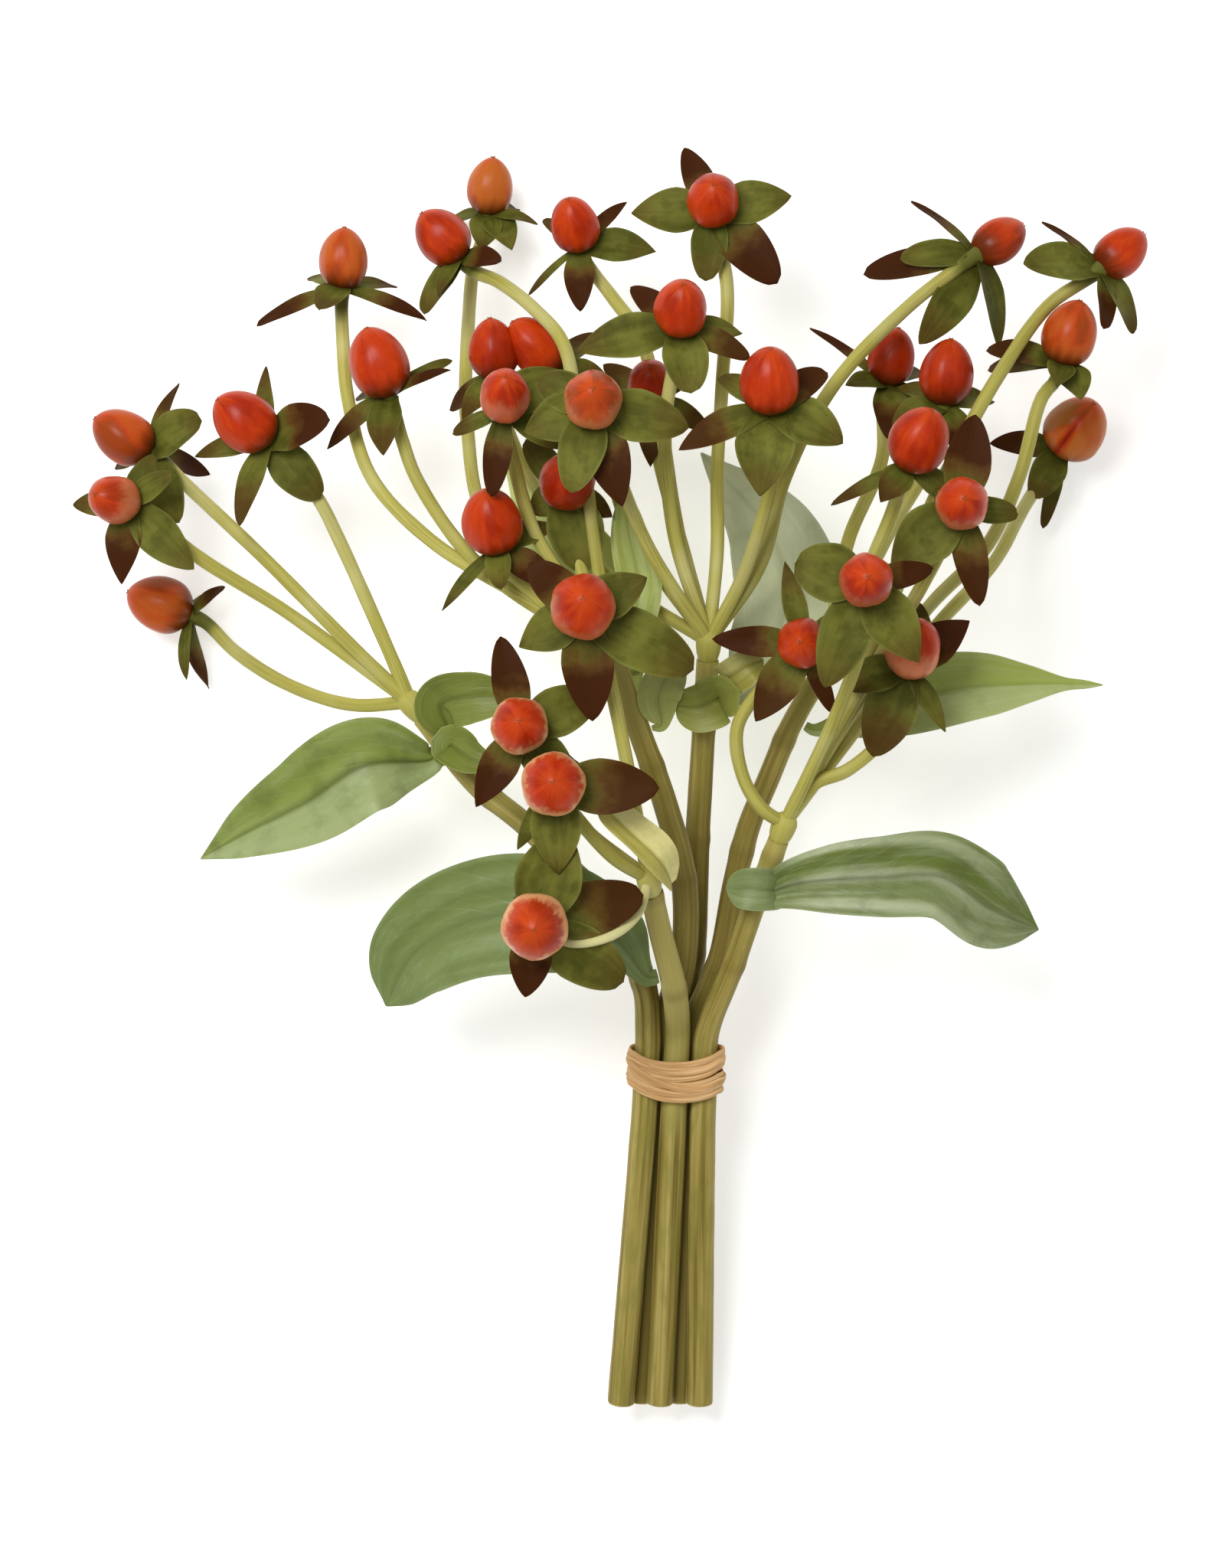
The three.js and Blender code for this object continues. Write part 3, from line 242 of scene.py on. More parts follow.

# Each leaf grows at a share of its stem's length, or from a point. spine is its way from there, and
# faces says which way it looks at its root and at its tip. halves says how much paler each side of
# the midrib is, and pleats how many ridges and grooves run lengthwise and how high they are. Some
# leaves also have a painted highlight in streaks along the pleats, with a number for how pale it is.
leaves = {
    "leaf_left": {
        "stem": "left", "at": 0.945, "outline": "broadBase", "width": 20.5, "fold": 0.3,
        "faces": [(-0.2, -0.2, 1), (0.1, 0.35, 1)],
        "spine": [(-52, 4, 47), (-65, -4, 43), (-77, -10, 37), (-88, -16, 29)],
        "green": "#7d8c3e", "pale": "#98a56e", "rib": "#3f4612", "halves": (0.85, 0), "pleats": (5, 0.4),
        "ridgeHighlight": 0.15},
    "leaf_left_inner": {
        "stem": "left", "at": 0.93, "outline": "even", "width": 9, "fold": 0.5,
        "faces": [(0, 0, 1), (-0.2, 0.4, 1)], "spine": [(-34, 8, 47), (-29, 5, 51), (-23, 4, 52)],
        "green": "#6b7629", "pale": "#9ba158", "rib": "#4b5419", "halves": (0.1, 0.1), "pleats": (3, 0.2)},
    "leaf_left_upper": {
        "stem": "left", "at": 0.95, "outline": "blunt", "width": 11.8, "fold": 0.3,
        "faces": [(0, -0.3, 1), (0, 0, 1)], "spine": [(-36, 16.6, 46), (-30, 18.2, 49.5), (-20.5, 18, 51)],
        "green": "#707a30", "pale": "#949a55", "rib": "#4d561c", "halves": (0, 0.1), "pleats": (3, 0.2)},
    "leaf_lower_left": {
        "stem": "front", "at": 0.82, "outline": "blunt", "width": 25, "fold": 0.12,
        "faces": [(0, -0.1, 1), (-0.3, -0.1, 1)],
        "spine": [(0, -32, 54), (-16, -27, 56), (-31, -29, 53), (-42, -36, 47), (-48, -47, 38)],
        "green": "#6f7f40", "pale": "#95a374", "rib": "#56632f", "halves": (0.1, 0), "pleats": (7, 0.35),
        "ridgeHighlight": 0.2},
    "leaf_folded": {
        "outline": "strap", "width": 8.5, "fold": 0.5,
        "faces": [(0.6, 0.3, 1), (0.3, 0.4, 1)], "from": (12, -20.6, 64.5),
        "spine": [(10, -16.5, 70), (3.5, -10, 74.3), (-3, -4, 75)],
        "green": "#b5ab48", "pale": "#e2da92", "rib": "#8b8134", "halves": (0.1, 0.9), "pleats": (4, 0.15)},
    "leaf_right": {
        "stem": "inner_right", "at": 0.92, "outline": "drawnOut", "width": 15.5, "fold": 0.25,
        "faces": [(0, -0.1, 1), (0.2, 0.3, 1)],
        "spine": [(49, 13, 44), (60, 17, 47), (72, 20, 48), (87, 21, 45), (104, 21, 38)],
        "green": "#9ba74f", "pale": "#b2bb84", "rib": "#7f8c3a", "halves": (0, 0.55), "pleats": (4, 0.25)},
    "leaf_lower_right": {
        "outline": "broadTip", "width": 21.5, "fold": 0.2,
        "faces": [(0, 0.1, 1), (0.4, 0.2, 1)], "from": (32, -23, 52.5), "spine": [(38, -21, 54.5),
            (46, -20, 57), (56, -19.5, 59), (68, -19.4, 57), (79, -26.2, 51), (90, -30.8, 42)],
        "green": "#62702d", "pale": "#a9b28c", "rib": "#3d471b", "halves": (0, 0.2), "pleats": (5, 0.9),
        "ridgeHighlight": 0.7},
    "leaf_lower_right_pair": {
        "outline": "lobe", "width": 9, "fold": 0.12,
        "faces": [(0.1, 0, 1), (-0.3, 0, 1)], "from": (35.4, -22.3, 51.6),
        "spine": [(32, -22.1, 55), (27.6, -21.9, 54.8), (23.8, -21.8, 52.4)],
        "green": "#73804a", "pale": "#9caa7c", "rib": "#5d6a38", "halves": (0.1, 0.1), "pleats": (3, 0.15)},
    "leaf_collar": {
        "stem": "centre", "at": 0.95, "outline": "blunt", "width": 11, "fold": 0.3,
        "faces": [(0, -0.4, 1), (-0.6, -0.2, 1)], "spine": [(22, 18, 56), (18, 16, 58), (13, 16.5, 56)],
        "green": "#868b38", "pale": "#a6a964", "rib": "#565a1c", "halves": (0.1, 0), "pleats": (3, 0.15)},
    "leaf_collar_upper": {
        "stem": "centre", "at": 0.975, "outline": "blunt", "width": 8, "fold": 0.3,
        "faces": [(0.2, 0, 1), (0.4, 0, 1)], "spine": [(25, 22.5, 57), (28, 24.5, 58), (31.5, 26, 56)],
        "green": "#948f3c", "pale": "#c0bb78", "rib": "#7b7630", "halves": (0.5, 0), "pleats": (3, 0.15)},
    "leaf_middle": {
        "stem": "upper_left", "at": 0.9, "outline": "blunt", "width": 9, "fold": 0.2,
        "faces": [(0, 0, 1), (0.2, -0.2, 1)], "spine": [(9.5, 18, 58), (11.5, 23, 58.5), (14.5, 28, 55)],
        "green": "#949a4c", "pale": "#b6ba7c", "rib": "#6c7434", "halves": (0.1, 0.1), "pleats": (3, 0.15)},
    "leaf_centre_pale": {
        "stem": "upper_left", "at": 0.97, "outline": "blunt", "width": 9.5, "fold": 0.25,
        "faces": [(0, 0, 1), (0, 0, 1)],
        "spine": [(4.5, 31, 54), (5.5, 42, 53), (3.5, 52, 52.6), (2.5, 61, 52)],
        "green": "#8f9a42", "pale": "#c0c87c", "rib": "#7c8638", "halves": (0.2, 0.2), "pleats": (5, 0.2)},
    "leaf_back_right": {
        "stem": "centre", "at": 0.93, "outline": "even", "width": 23, "fold": 0.15,
        "faces": [(0, 0, 1), (0.2, -0.2, 1)],
        "spine": [(31, 26, 42), (37, 38, 36), (34, 53, 30), (19, 71, 26)],
        "green": "#b4ba94", "pale": "#ced3ba", "rib": "#98a078", "halves": (0.1, 0.1), "pleats": (6, 0.25)},
    "leaf_back_left": {
        "stem": "upper_left", "at": 0.93, "outline": "even", "width": 18, "fold": 0.15,
        "faces": [(0, 0, 1), (-0.2, -0.1, 1)],
        "spine": [(2, 27, 44), (-1, 38, 38), (-12, 54, 33), (-24, 74, 28)],
        "green": "#b8c26c", "pale": "#d0d694", "rib": "#9ca858", "halves": (0.1, 0.1), "pleats": (5, 0.25)},
}


# Ways: a smooth curve through points, kept as many evenly spaced points.
wayMake = {"fineness": 40, "points": 240}  # between two given points, and then along the whole way


def stretchPoint(before, start, end, after, share):
    gaps = [sqrt((b - a).length) for a, b in ((before, start), (start, end), (end, after))]
    first = (start - before) / gaps[0] - (end - before) / (gaps[0] + gaps[1]) + (end - start) / gaps[1]
    second = (end - start) / gaps[1] - (after - start) / (gaps[1] + gaps[2]) + (after - end) / gaps[2]
    first, second = first * gaps[1], second * gaps[1]
    bend = (end - start) * 3 - first * 2 - second
    twist = (start - end) * 2 + first + second
    return start + first * share + bend * share ** 2 + twist * share ** 3


def evenShares(steps):
    return [k / steps for k in range(steps + 1)]


def evenly(points, count):
    lengths = [0.0]
    for a, b in zip(points, points[1:]):
        lengths.append(lengths[-1] + (b - a).length)
    out, k = [], 0
    for step in range(count + 1):
        reach = lengths[-1] * step / count
        while k < len(points) - 2 and lengths[k + 1] < reach:
            k += 1
        share = (reach - lengths[k]) / max(lengths[k + 1] - lengths[k], 1e-9)
        out.append(points[k].lerp(points[k + 1], share))
    return out


def wayThrough(points):
    spots = [Vector(point) for point in points]
    chain = [spots[0] * 2 - spots[1]] + spots + [spots[-1] * 2 - spots[-2]]
    dense = []
    for four in zip(chain, chain[1:], chain[2:], chain[3:]):
        dense += [stretchPoint(*four, share) for share in evenShares(wayMake["fineness"])[:-1]]
    return evenly(dense + [spots[-1]], wayMake["points"])


def bentWay(start, bend, end):  # a single bend between two ends
    points = [start * (1 - t) ** 2 + bend * 2 * t * (1 - t) + end * t ** 2
              for t in evenShares(wayMake["fineness"])]
    return evenly(points, wayMake["points"])


def spotOn(way, share):
    reach = min(max(share, 0), 1) * (len(way) - 1)
    k = min(int(reach), len(way) - 2)
    return way[k].lerp(way[k + 1], reach - k)


def headingOn(way, share):
    step = 1 / (len(way) - 1)
    return (spotOn(way, share + step) - spotOn(way, share - step)).normalized()


def lengthOf(way):
    return (way[1] - way[0]).length * (len(way) - 1)


def acrossWay(way, shares):  # a frame at each share, carried along without twisting
    side, out = None, []
    for share in shares:
        heading = headingOn(way, share)
        side = side or heading.orthogonal()
        side = (side - heading * side.dot(heading)).normalized()
        out.append((share, spotOn(way, share), side, heading.cross(side)))
    return out


def smoothValue(stations, share):  # reads a list of (share, value) without corners
    k = 0
    while k < len(stations) - 2 and stations[k + 1][0] < share:
        k += 1
    (x0, y0), (x1, y1) = stations[k], stations[k + 1]
    slopes = []
    for m in (k, k + 1):
        low, high = stations[max(m - 1, 0)], stations[min(m + 1, len(stations) - 1)]
        slopes.append((high[1] - low[1]) / (high[0] - low[0]) * (x1 - x0))
    t = (share - x0) / (x1 - x0)
    bend = 3 * (y1 - y0) - 2 * slopes[0] - slopes[1]
    twist = 2 * (y0 - y1) + slopes[0] + slopes[1]
    return y0 + slopes[0] * t + bend * t ** 2 + twist * t ** 3


def easedStep(low, high, value):
    t = min(max((value - low) / (high - low), 0), 1)
    return t * t * (3 - 2 * t)


def lumps(spot, seed=0.0):
    return noise.noise(spot + Vector((seed, seed * 1.7, -seed)))


def placed(name, data):
    thing = bpy.data.objects.new(name, data)
    bpy.context.scene.collection.objects.link(thing)
    return thing


# A skin collects closed tubes. Each spot is a point, its grain, which is its place on the part, and
# its tint, three numbers that the finishes read.
class Skin:
    def __init__(self):
        self.spots = []
        self.faces = []

    def addTube(self, rings, shut=True):
        rows = []
        for ring in rings:
            rows.append(range(len(self.spots), len(self.spots) + len(ring)))
            self.spots += ring
        pairs = list(zip(rows, rows[1:]))
        if not shut:
            pairs.append((rows[-1], rows[0]))  # an endless band
        for low, high in pairs:
            for k in range(len(low)):
                after = (k + 1) % len(low)
                self.faces.append((low[k], low[after], high[after], high[k]))
        if shut:
            self.faces.append(tuple(reversed(rows[0])))
            self.faces.append(tuple(rows[-1]))

    def makePiece(self, name, node, slotName, material):
        mesh = bpy.data.meshes.new(name)
        mesh.from_pydata([spot[0] * mm for spot in self.spots], [], self.faces)
        for place, label in ((1, "grain"), (2, "tint")):
            layer = mesh.attributes.new(label, "FLOAT_VECTOR", "POINT")
            layer.data.foreach_set("vector", [number for spot in self.spots for number in spot[place]])
        work = bmesh.new()
        work.from_mesh(mesh)
        bmesh.ops.recalc_face_normals(work, faces=work.faces)
        work.to_mesh(mesh)
        work.free()
        mesh.shade_smooth()
        mesh.set_sharp_from_angle(angle=radians(62))
        mesh.materials.append(material)
        piece = placed(name, mesh)
        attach(piece, "root")
        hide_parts(node)


def ringsAt(stations, around, pointAt):  # pointAt gives a point's radius, grain and tint
    rings = []
    for share, spot, side, rise in stations:
        ring = []
        for k in range(around):
            angle = tau * k / around
            out = side * cos(angle) + rise * sin(angle)
            radius, grain, tint = pointAt(share, spot, angle, out)
            ring.append((spot + out * radius, grain, tint))
        rings.append(ring)
    return rings


def addBlade(skin, way, shares, make, halfWidthAt, liftAt, facingAt, grainAt, tintAt):
    # A thin blade: each ring runs over its upper face and back under it.
    rings = []
    for share in shares:
        spot, heading = spotOn(way, share), headingOn(way, share)
        side = heading.cross(facingAt(share)).normalized()
        normal = side.cross(heading).normalized()
        half = halfWidthAt(share)
        upper, lower = [], []
        for column in evenShares(make["columns"]):
            across = sin((column - 0.5) * pi)
            middle = spot + side * (across * half) + normal * liftAt(share, across)
            swell = make["thickness"] * 0.5 * sqrt(max(1 - across ** 2, 0.02)) * min(1, half + 0.2)
            upper.append((middle + normal * swell, grainAt(share, across), tintAt(share, across, 0)))
            lower.append((middle - normal * swell, grainAt(share, across), tintAt(share, across, 1)))
        rings.append(upper + lower[::-1])
    skin.addTube(rings)


# Finishes. Colours are given as they look on a screen. A finish starts from one colour of its
# look, and each wash lays another over it, as far as its share and strength say.
def paint(code):
    parts = [int(code[k:k + 2], 16) / 255 for k in (1, 3, 5)]
    return (*[part / 12.92 if part <= 0.04045 else ((part + 0.055) / 1.055) ** 2.4 for part in parts], 1)


class Finish:
    def __init__(self, name, look, ground):
        self.material = bpy.data.materials.new(name)
        self.material.use_nodes = True
        self.tree = self.material.node_tree
        self.shader = self.tree.nodes["Principled BSDF"]
        self.shader.inputs["Roughness"].default_value = look["rough"]
        self.shader.inputs["Specular IOR Level"].default_value = look["gloss"]
        self.look = look
        self.skin = paint(look[ground])

    def feed(self, socket, value):  # value is another node's output, or plain
        if isinstance(value, bpy.types.NodeSocket):
            self.tree.links.new(value, socket)
        else:
            socket.default_value = value

    def node(self, kind, values):
        node = self.tree.nodes.new("ShaderNode" + kind)
        for place, value in values.items():
            self.feed(node.inputs[place], value)
        return node

    def reckon(self, operation, first, second=0.0):
        node = self.node("Math", {0: first, 1: second})
        node.operation = operation
        return node.outputs[0]

    def plus(self, first, second):
        return self.reckon("ADD", first, second)

    def times(self, first, second):
        return self.reckon("MULTIPLY", first, second)

    def ease(self, value, low, high):  # 0 at low, 1 at high, smooth between
        node = self.node("MapRange", {"Value": value, "From Min": low, "From Max": high})
        node.interpolation_type = "SMOOTHSTEP"
        return node.outputs["Result"]

    def wash(self, colour, share, strength=None):
        if strength is not None:
            share = self.times(share, strength)
        node = self.node("Mix", {0: share, 6: self.skin, 7: paint(self.look[colour])})
        node.data_type = "RGBA"
        self.skin = node.outputs[2]

    def parts(self, label):  # an attribute, whole and as its three numbers
        node = self.node("Attribute", {})
        node.attribute_name = label
        whole = node.outputs["Vector"]
        return [whole, *self.node("SeparateXYZ", {0: whole}).outputs]

    def cloud(self, where, stretch, detail=3.0, roughness=0.55):
        place = self.node("Mapping", {"Vector": where, "Scale": stretch}).outputs[0]
        grain = {"Vector": place, "Scale": 1.0, "Detail": detail, "Roughness": roughness}
        return self.node("TexNoise", grain).outputs["Fac"]

    def evenCloud(self, fineness, detail=3.0, roughness=0.55):  # the same size in every direction
        where = self.node("TexCoord", {}).outputs["Object"]
        return self.cloud(where, (fineness, fineness, fineness), detail, roughness)

    def done(self):
        self.feed(self.shader.inputs["Base Color"], self.skin)
        return self.material

    def doneWithRelief(self, height, strength, depth=0.4):
        node = self.node("Bump", {"Strength": strength, "Distance": depth * mm, "Height": height})
        self.feed(self.shader.inputs["Normal"], node.outputs[0])
        return self.done()


# The pale peach colour is a painted sheen, laid over the flesh below the tip.
berryLook = {
    "flesh": "#a92803", "light": "#c4400c", "gold": "#b5702c", "olive": "#7c6c26", "dark": "#6c1804",
    # base: darker near the calyx, partly the berry's own colour and partly painted shade.
    "dusk": "#841903", "base": "#482309", "tip": "#be4514", "beak": "#8a4a1c", "rim": "#e0a370",
    "rough": 0.34, "gloss": 0.16,
}


def makeBerryFinish():
    finish = Finish("berryGloss", berryLook, "flesh")
    plus, times, ease = finish.plus, finish.times, finish.ease
    where, _, _, up = finish.parts("grain")
    _, tone, seed, rim = finish.parts("tint")
    place = finish.node("VectorMath", {0: where, 1: seed}).outputs[0]  # each berry is marked its own way
    streak = finish.cloud(place, (7.0, 7.0, 1.6), 5.0, 0.6)
    patch = finish.cloud(place, (1.4, 1.4, 1.1), 2.0)
    fleck = finish.cloud(place, (9.0, 9.0, 7.0))
    lit = plus(times(ease(streak, 0.35, 0.8), 0.45), times(ease(patch, 0.4, 0.62), 0.4))
    finish.wash("light", plus(lit, times(ease(fleck, 0.45, 0.75), 0.4)))
    finish.wash("dusk", ease(patch, 0.5, 0.36), 0.5)
    finish.wash("gold", ease(patch, 0.36, 0.6), tone)
    finish.wash("olive", ease(patch, 0.5, 0.36), times(tone, 0.7))
    finish.wash("dark", tone, -1.0)
    height = plus(up, times(plus(streak, -0.5), 0.3))
    ragged = plus(height, times(plus(patch, fleck), 0.3))
    # Painted pale sheen over the flesh below the tip, as strong as each berry asks.
    finish.wash("rim", ease(ragged, 1.06, 0.84), rim)
    # Darker towards the calyx: partly the berry's own colour, partly painted shade around the calyx.
    finish.wash("base", ease(height, 0.42, 0.04), 0.8)
    finish.wash("tip", ease(height, 0.88, 0.97), 0.5)
    finish.wash("beak", ease(up, 1.0, 1.03))
    return finish.doneWithRelief(fleck, 0.12)


# One dark green serves for dark mottles and for painted shade at the sepals' roots.
sepalLook = {
    "green": "#4c4e19", "light": "#6e6f2c", "mottleAndShade": "#38360a", "maroon": "#3d1d05", "brown": "#5b4019",
    "edge": "#8a8c4c", "rough": 0.6, "gloss": 0.07,
}


def makeSepalFinish():
    finish = Finish("sepalSatin", sepalLook, "green")
    plus, times, ease = finish.plus, finish.times, finish.ease
    where, across, _, along = finish.parts("grain")
    maroon = finish.parts("tint")[1]
    vein = finish.cloud(where, (7.0, 3.0, 1.3), 3.0, 0.5)
    mottle = finish.evenCloud(260)
    finish.wash("light", ease(plus(times(vein, 0.3), times(finish.evenCloud(110), 0.7)), 0.34, 0.66))
    finish.wash("mottleAndShade", ease(mottle, 0.5, 0.34), 0.35)
    finish.wash("edge", ease(finish.reckon("ABSOLUTE", across), 0.43, 0.5), 0.3)
    # Painted shade: darker towards the sepal's root, against the berry.
    finish.wash("mottleAndShade", ease(plus(along, times(mottle, 0.15)), 0.5, 0.12), 0.7)
    ragged = plus(along, times(plus(mottle, -0.5), 0.45))
    reached, strength = plus(ragged, times(maroon, 0.4)), plus(maroon, 0.1)
    finish.wash("brown", ease(reached, 0.58, 0.85), strength)
    finish.wash("maroon", ease(reached, 0.72, 1.0), strength)
    return finish.doneWithRelief(vein, 0.3)


stalkLook = {
    "skin": "#b9b25c", "shade": "#928a38", "edge": "#d2cd95", "collar": "#5d5f22",
    "rough": 0.5, "gloss": 0.15,
}


def makeStalkFinish():
    finish = Finish("stalkSkin", stalkLook, "shade")
    _, shade, collar, _ = finish.parts("tint")
    streak = finish.cloud(finish.parts("grain")[0], (3.0, 3.0, 1.2), 4.0)
    finish.wash("skin", finish.ease(streak, 0.2, 0.6))
    finish.wash("edge", finish.ease(finish.evenCloud(55, 2.0), 0.45, 0.7), 0.5)
    finish.wash("shade", shade, 0.8)
    finish.wash("edge", shade, -1.0)
    finish.wash("collar", collar)
    return finish.doneWithRelief(streak, 0.3, 0.3)


stemLook = {
    "skin": "#9b8b45", "light": "#b3a361", "dark": "#6f5f26", "green": "#807a34", "young": "#b0a45c",
    "cut": "#b9ad76", "pith": "#e0d6ae", "rough": 0.5, "gloss": 0.15,
}


def makeStemFinish():
    finish = Finish("stemBark", stemLook, "dark")
    where, ease = finish.parts("grain")[0], finish.ease
    _, cut, node, tone = finish.parts("tint")
    streak = finish.cloud(where, (2.4, 2.4, 0.5), 4.0)
    finish.wash("skin", ease(streak, 0.3, 0.55))
    finish.wash("light", ease(streak, 0.5, 0.72))
    finish.wash("green", ease(finish.cloud(where, (1.2, 1.2, 3.0), 2.0), 0.45, 0.65), 0.5)
    finish.wash("young", tone, 0.75)
    # A negative tone darkens a stem; below the tie on the stems behind, that darkening is painted shade.
    finish.wash("dark", tone, -0.8)
    finish.wash("dark", node, 0.4)
    finish.wash("cut", ease(cut, 0.4, 0.9))
    finish.wash("pith", ease(cut, 1.25, 1.75))
    return finish.doneWithRelief(streak, 0.3)


leafLook = {"rough": 0.45, "gloss": 0.3}


def makeLeafFinish(name, look):
    finish = Finish(name, leafLook | look, "green")
    plus, times, ease = finish.plus, finish.times, finish.ease
    where, across, phase, _ = finish.parts("grain")
    _, lightness, rib, under = finish.parts("tint")
    mottle = finish.evenCloud(140, 4.0, 0.6)
    streak = finish.cloud(where, (4.5, 0.0, 1.3), 4.0, 0.6)
    ripple = finish.reckon("ABSOLUTE", finish.reckon("SINE", phase))
    vein = ease(plus(ripple, times(mottle, 0.3)), 0.55, 0.15)
    # lightness holds how pale each half is, and the painted highlight along the pleats.
    pale = plus(lightness, times(ease(streak, 0.45, 0.75), 0.35))
    finish.wash("pale", plus(pale, times(vein, 0.08)))
    finish.wash("rib", rib, 0.8)
    finish.wash("pale", ease(finish.reckon("ABSOLUTE", across), 0.9, 1.0), 0.4)
    finish.wash("pale", under, 0.5)
    finish.wash("rib", ease(mottle, 0.55, 0.3), 0.3)
    return finish.doneWithRelief(plus(streak, times(vein, -0.25)), 0.3)


raffiaLook = {"straw": "#e0b681", "light": "#efd0a3", "dark": "#bb8e58", "rough": 0.62, "gloss": 0.15}


def makeRaffiaFinish():
    finish = Finish("raffiaStraw", raffiaLook, "dark")
    streak = finish.cloud(finish.parts("grain")[0], (3.2, 3.2, 0.9), 5.0, 0.65)
    finish.wash("straw", finish.ease(streak, 0.35, 0.65))
    finish.wash("light", finish.ease(streak, 0.52, 0.72))
    finish.wash("dark", finish.parts("tint")[1], 0.5)
    return finish.doneWithRelief(streak, 0.4)


# Stems: round bars with faint lengthwise ridges and a swollen node every so often.
stemMake = {
    "around": 36, "steps": 150, "girth": 0.975, "ridge": 0.035, "lump": 0.03,
    "nodesFrom": 96, "nodeEvery": 26, "nodeSwell": 0.07, "nodeLength": 1.6, "youngFrom": 0.78,
    "tones": {"left": 0, "front": 1, "right": 0, "upper_left": -0.6, "inner_right": -0.5, "centre": -0.6},
    # The stems behind get painted shade from the tie to their cut ends.
    "behindShade": 0.9,  # how much darker the stems behind are, from the tie to their cut ends
    "cutFace": ((0.05, 2), (0.3, 2), (0.42, 1), (0.9, 1)),  # each ring's size, and 2 for pith or 1 for wood
    "cutEdge": (0.0012, 0.985, 0.8),  # a ring just above: how far up, its size and its wood
    "barkFrom": (0.004, 0.006),
}


def stemWay(name):
    across, row = places[name]

    def offset(pitch):
        return Vector((across * pitch[0], 0, row * pitch[1]))

    points = [bundle["cutEnd"] + offset(bundle["cutPitch"])]
    for step in (-1, 0, 1):
        run = bundle["along"] * (step * bundle["straightRun"])
        points.append(bundle["tieCentre"] + offset(bundle["tiePitch"]) + run)
    return wayThrough(points + stemRoutes[name])


def stemRadius(share):
    cut, tie, top = bundle["radii"]
    return cut + (tie - cut) * share * 2 if share < 0.5 else tie + (top - tie) * (share * 2 - 1)


stemWays = {name: stemWay(name) for name in places}
forks = {}
for stemName, stemCurve in stemWays.items():
    forks[stemName] = stemCurve[-1] + headingOn(stemCurve, 1) * (bundle["knuckle"] + bundle["seatGap"])


def stemToneAndShade(name, share):
    young = easedStep(stemMake["youngFrom"], 1, share)
    tone = stemMake["tones"][name] * easedStep(0.45, 0.6, share) * (1 - young) + young
    behind = places[name][1] < 1
    # Below the tie the stems behind the front row are darkened with painted shade.
    return tone - stemMake["behindShade"] * easedStep(0.5, 0.42, share) if behind else tone


def makeStem(name, material):
    way, skin, around = stemWays[name], Skin(), stemMake["around"]
    length = lengthOf(way)
    seed = list(places).index(name) * 3.1
    nodeReaches = range(stemMake["nodesFrom"] + int(seed) % 9, int(length), stemMake["nodeEvery"])
    edge, edgeSize, edgeWood = stemMake["cutEdge"]
    first, start = stemMake["barkFrom"]
    bark = [start + (1 - start) * k / stemMake["steps"] for k in range(1, stemMake["steps"])]
    stations = acrossWay(way, [edge, first] + bark)
    face = [(look, way[0], *stations[0][2:]) for look in stemMake["cutFace"]]

    def facePoint(look, spot, angle, out):
        size, wood = look
        return stemRadius(0) * size, (cos(angle) * size, sin(angle) * size, seed), (wood, 0, 0)

    def barkPoint(share, spot, angle, out):
        reach = share * length
        size, wood = (edgeSize, edgeWood) if share == edge else (1, 0)
        swell = sum(exp(-((reach - at) / stemMake["nodeLength"]) ** 2) for at in nodeReaches)
        bumps = stemMake["ridge"] * cos(2 * angle + reach * 0.012 + seed)
        bumps += stemMake["lump"] * lumps(spot * 0.11 + out * 0.6, seed)
        radius = stemRadius(share) * size * (stemMake["girth"] + bumps + stemMake["nodeSwell"] * swell)
        grain = (cos(angle), sin(angle), reach * 0.03 + seed)
        return radius, grain, (wood, swell, stemToneAndShade(name, share))

    skin.addTube(ringsAt(face, around, facePoint) + ringsAt(stations, around, barkPoint))
    skin.makePiece("stem_skin_" + name, "stem_" + name, "stem", material)


# Sprays: berries, their five-sepalled calyxes, and the thin stalks that meet at a knuckle.
berryMake = {
    "length": 13.6, "radius": 5.3, "seat": 0.46, "widest": 0.42, "around": 48, "along": 34, "fleshEnd": 0.972,
    "girth": 0.98, "lobes": 5, "lobeDepth": 0.022, "ribs": 17, "ribDepth": 0.006, "lump": 0.03,
    "seamWidth": 0.13, "seamDepth": 0.09, "seamTone": 1.7,
    "styles": 3, "styleRoot": 0.951, "styleRise": 0.36, "styleRadii": (0.26, 0.1),
}
sepalMake = {
    "width": 7.9, "length": 15, "arch": 1.6, "cup": 0.22, "thickness": 0.55, "columns": 8,
    "steps": 22, "start": 0.05, "base": 0.6, "waist": 0.42, "wave": 0.21, "turn": 1,
    "stretch": (0.85, 1.25),  # a longer one is wider, within these
    "layer": 0.12,  # how far each lies over the one before
}
stalkMake = {
    "radius": 1.45, "collar": 2.1, "swell": 5.5, "sunk": 1.5, "neck": 3, "around": 18, "steps": 56,
    "girth": 0.98, "ridge": 0.05, "lump": 0.05, "green": 6,
}
knuckleMake = {"around": 24, "steps": 14, "lump": 0.07, "tail": 2.2, "shade": 0.3}


def seatOf(berry):
    axis = Vector(berry["axis"]).normalized()
    calyx = Vector(berry["at"]) - axis * (berryMake["seat"] * berryMake["length"] * berry["size"][0])
    return calyx, axis


def berryGirth(up):
    widest = berryMake["widest"]
    if up < widest:
        return sqrt(max(1 - ((widest - up) / widest) ** 2.3, 0))
    return max(1 - ((up - widest) / (1 - widest)) ** 2.05, 0) ** 0.6


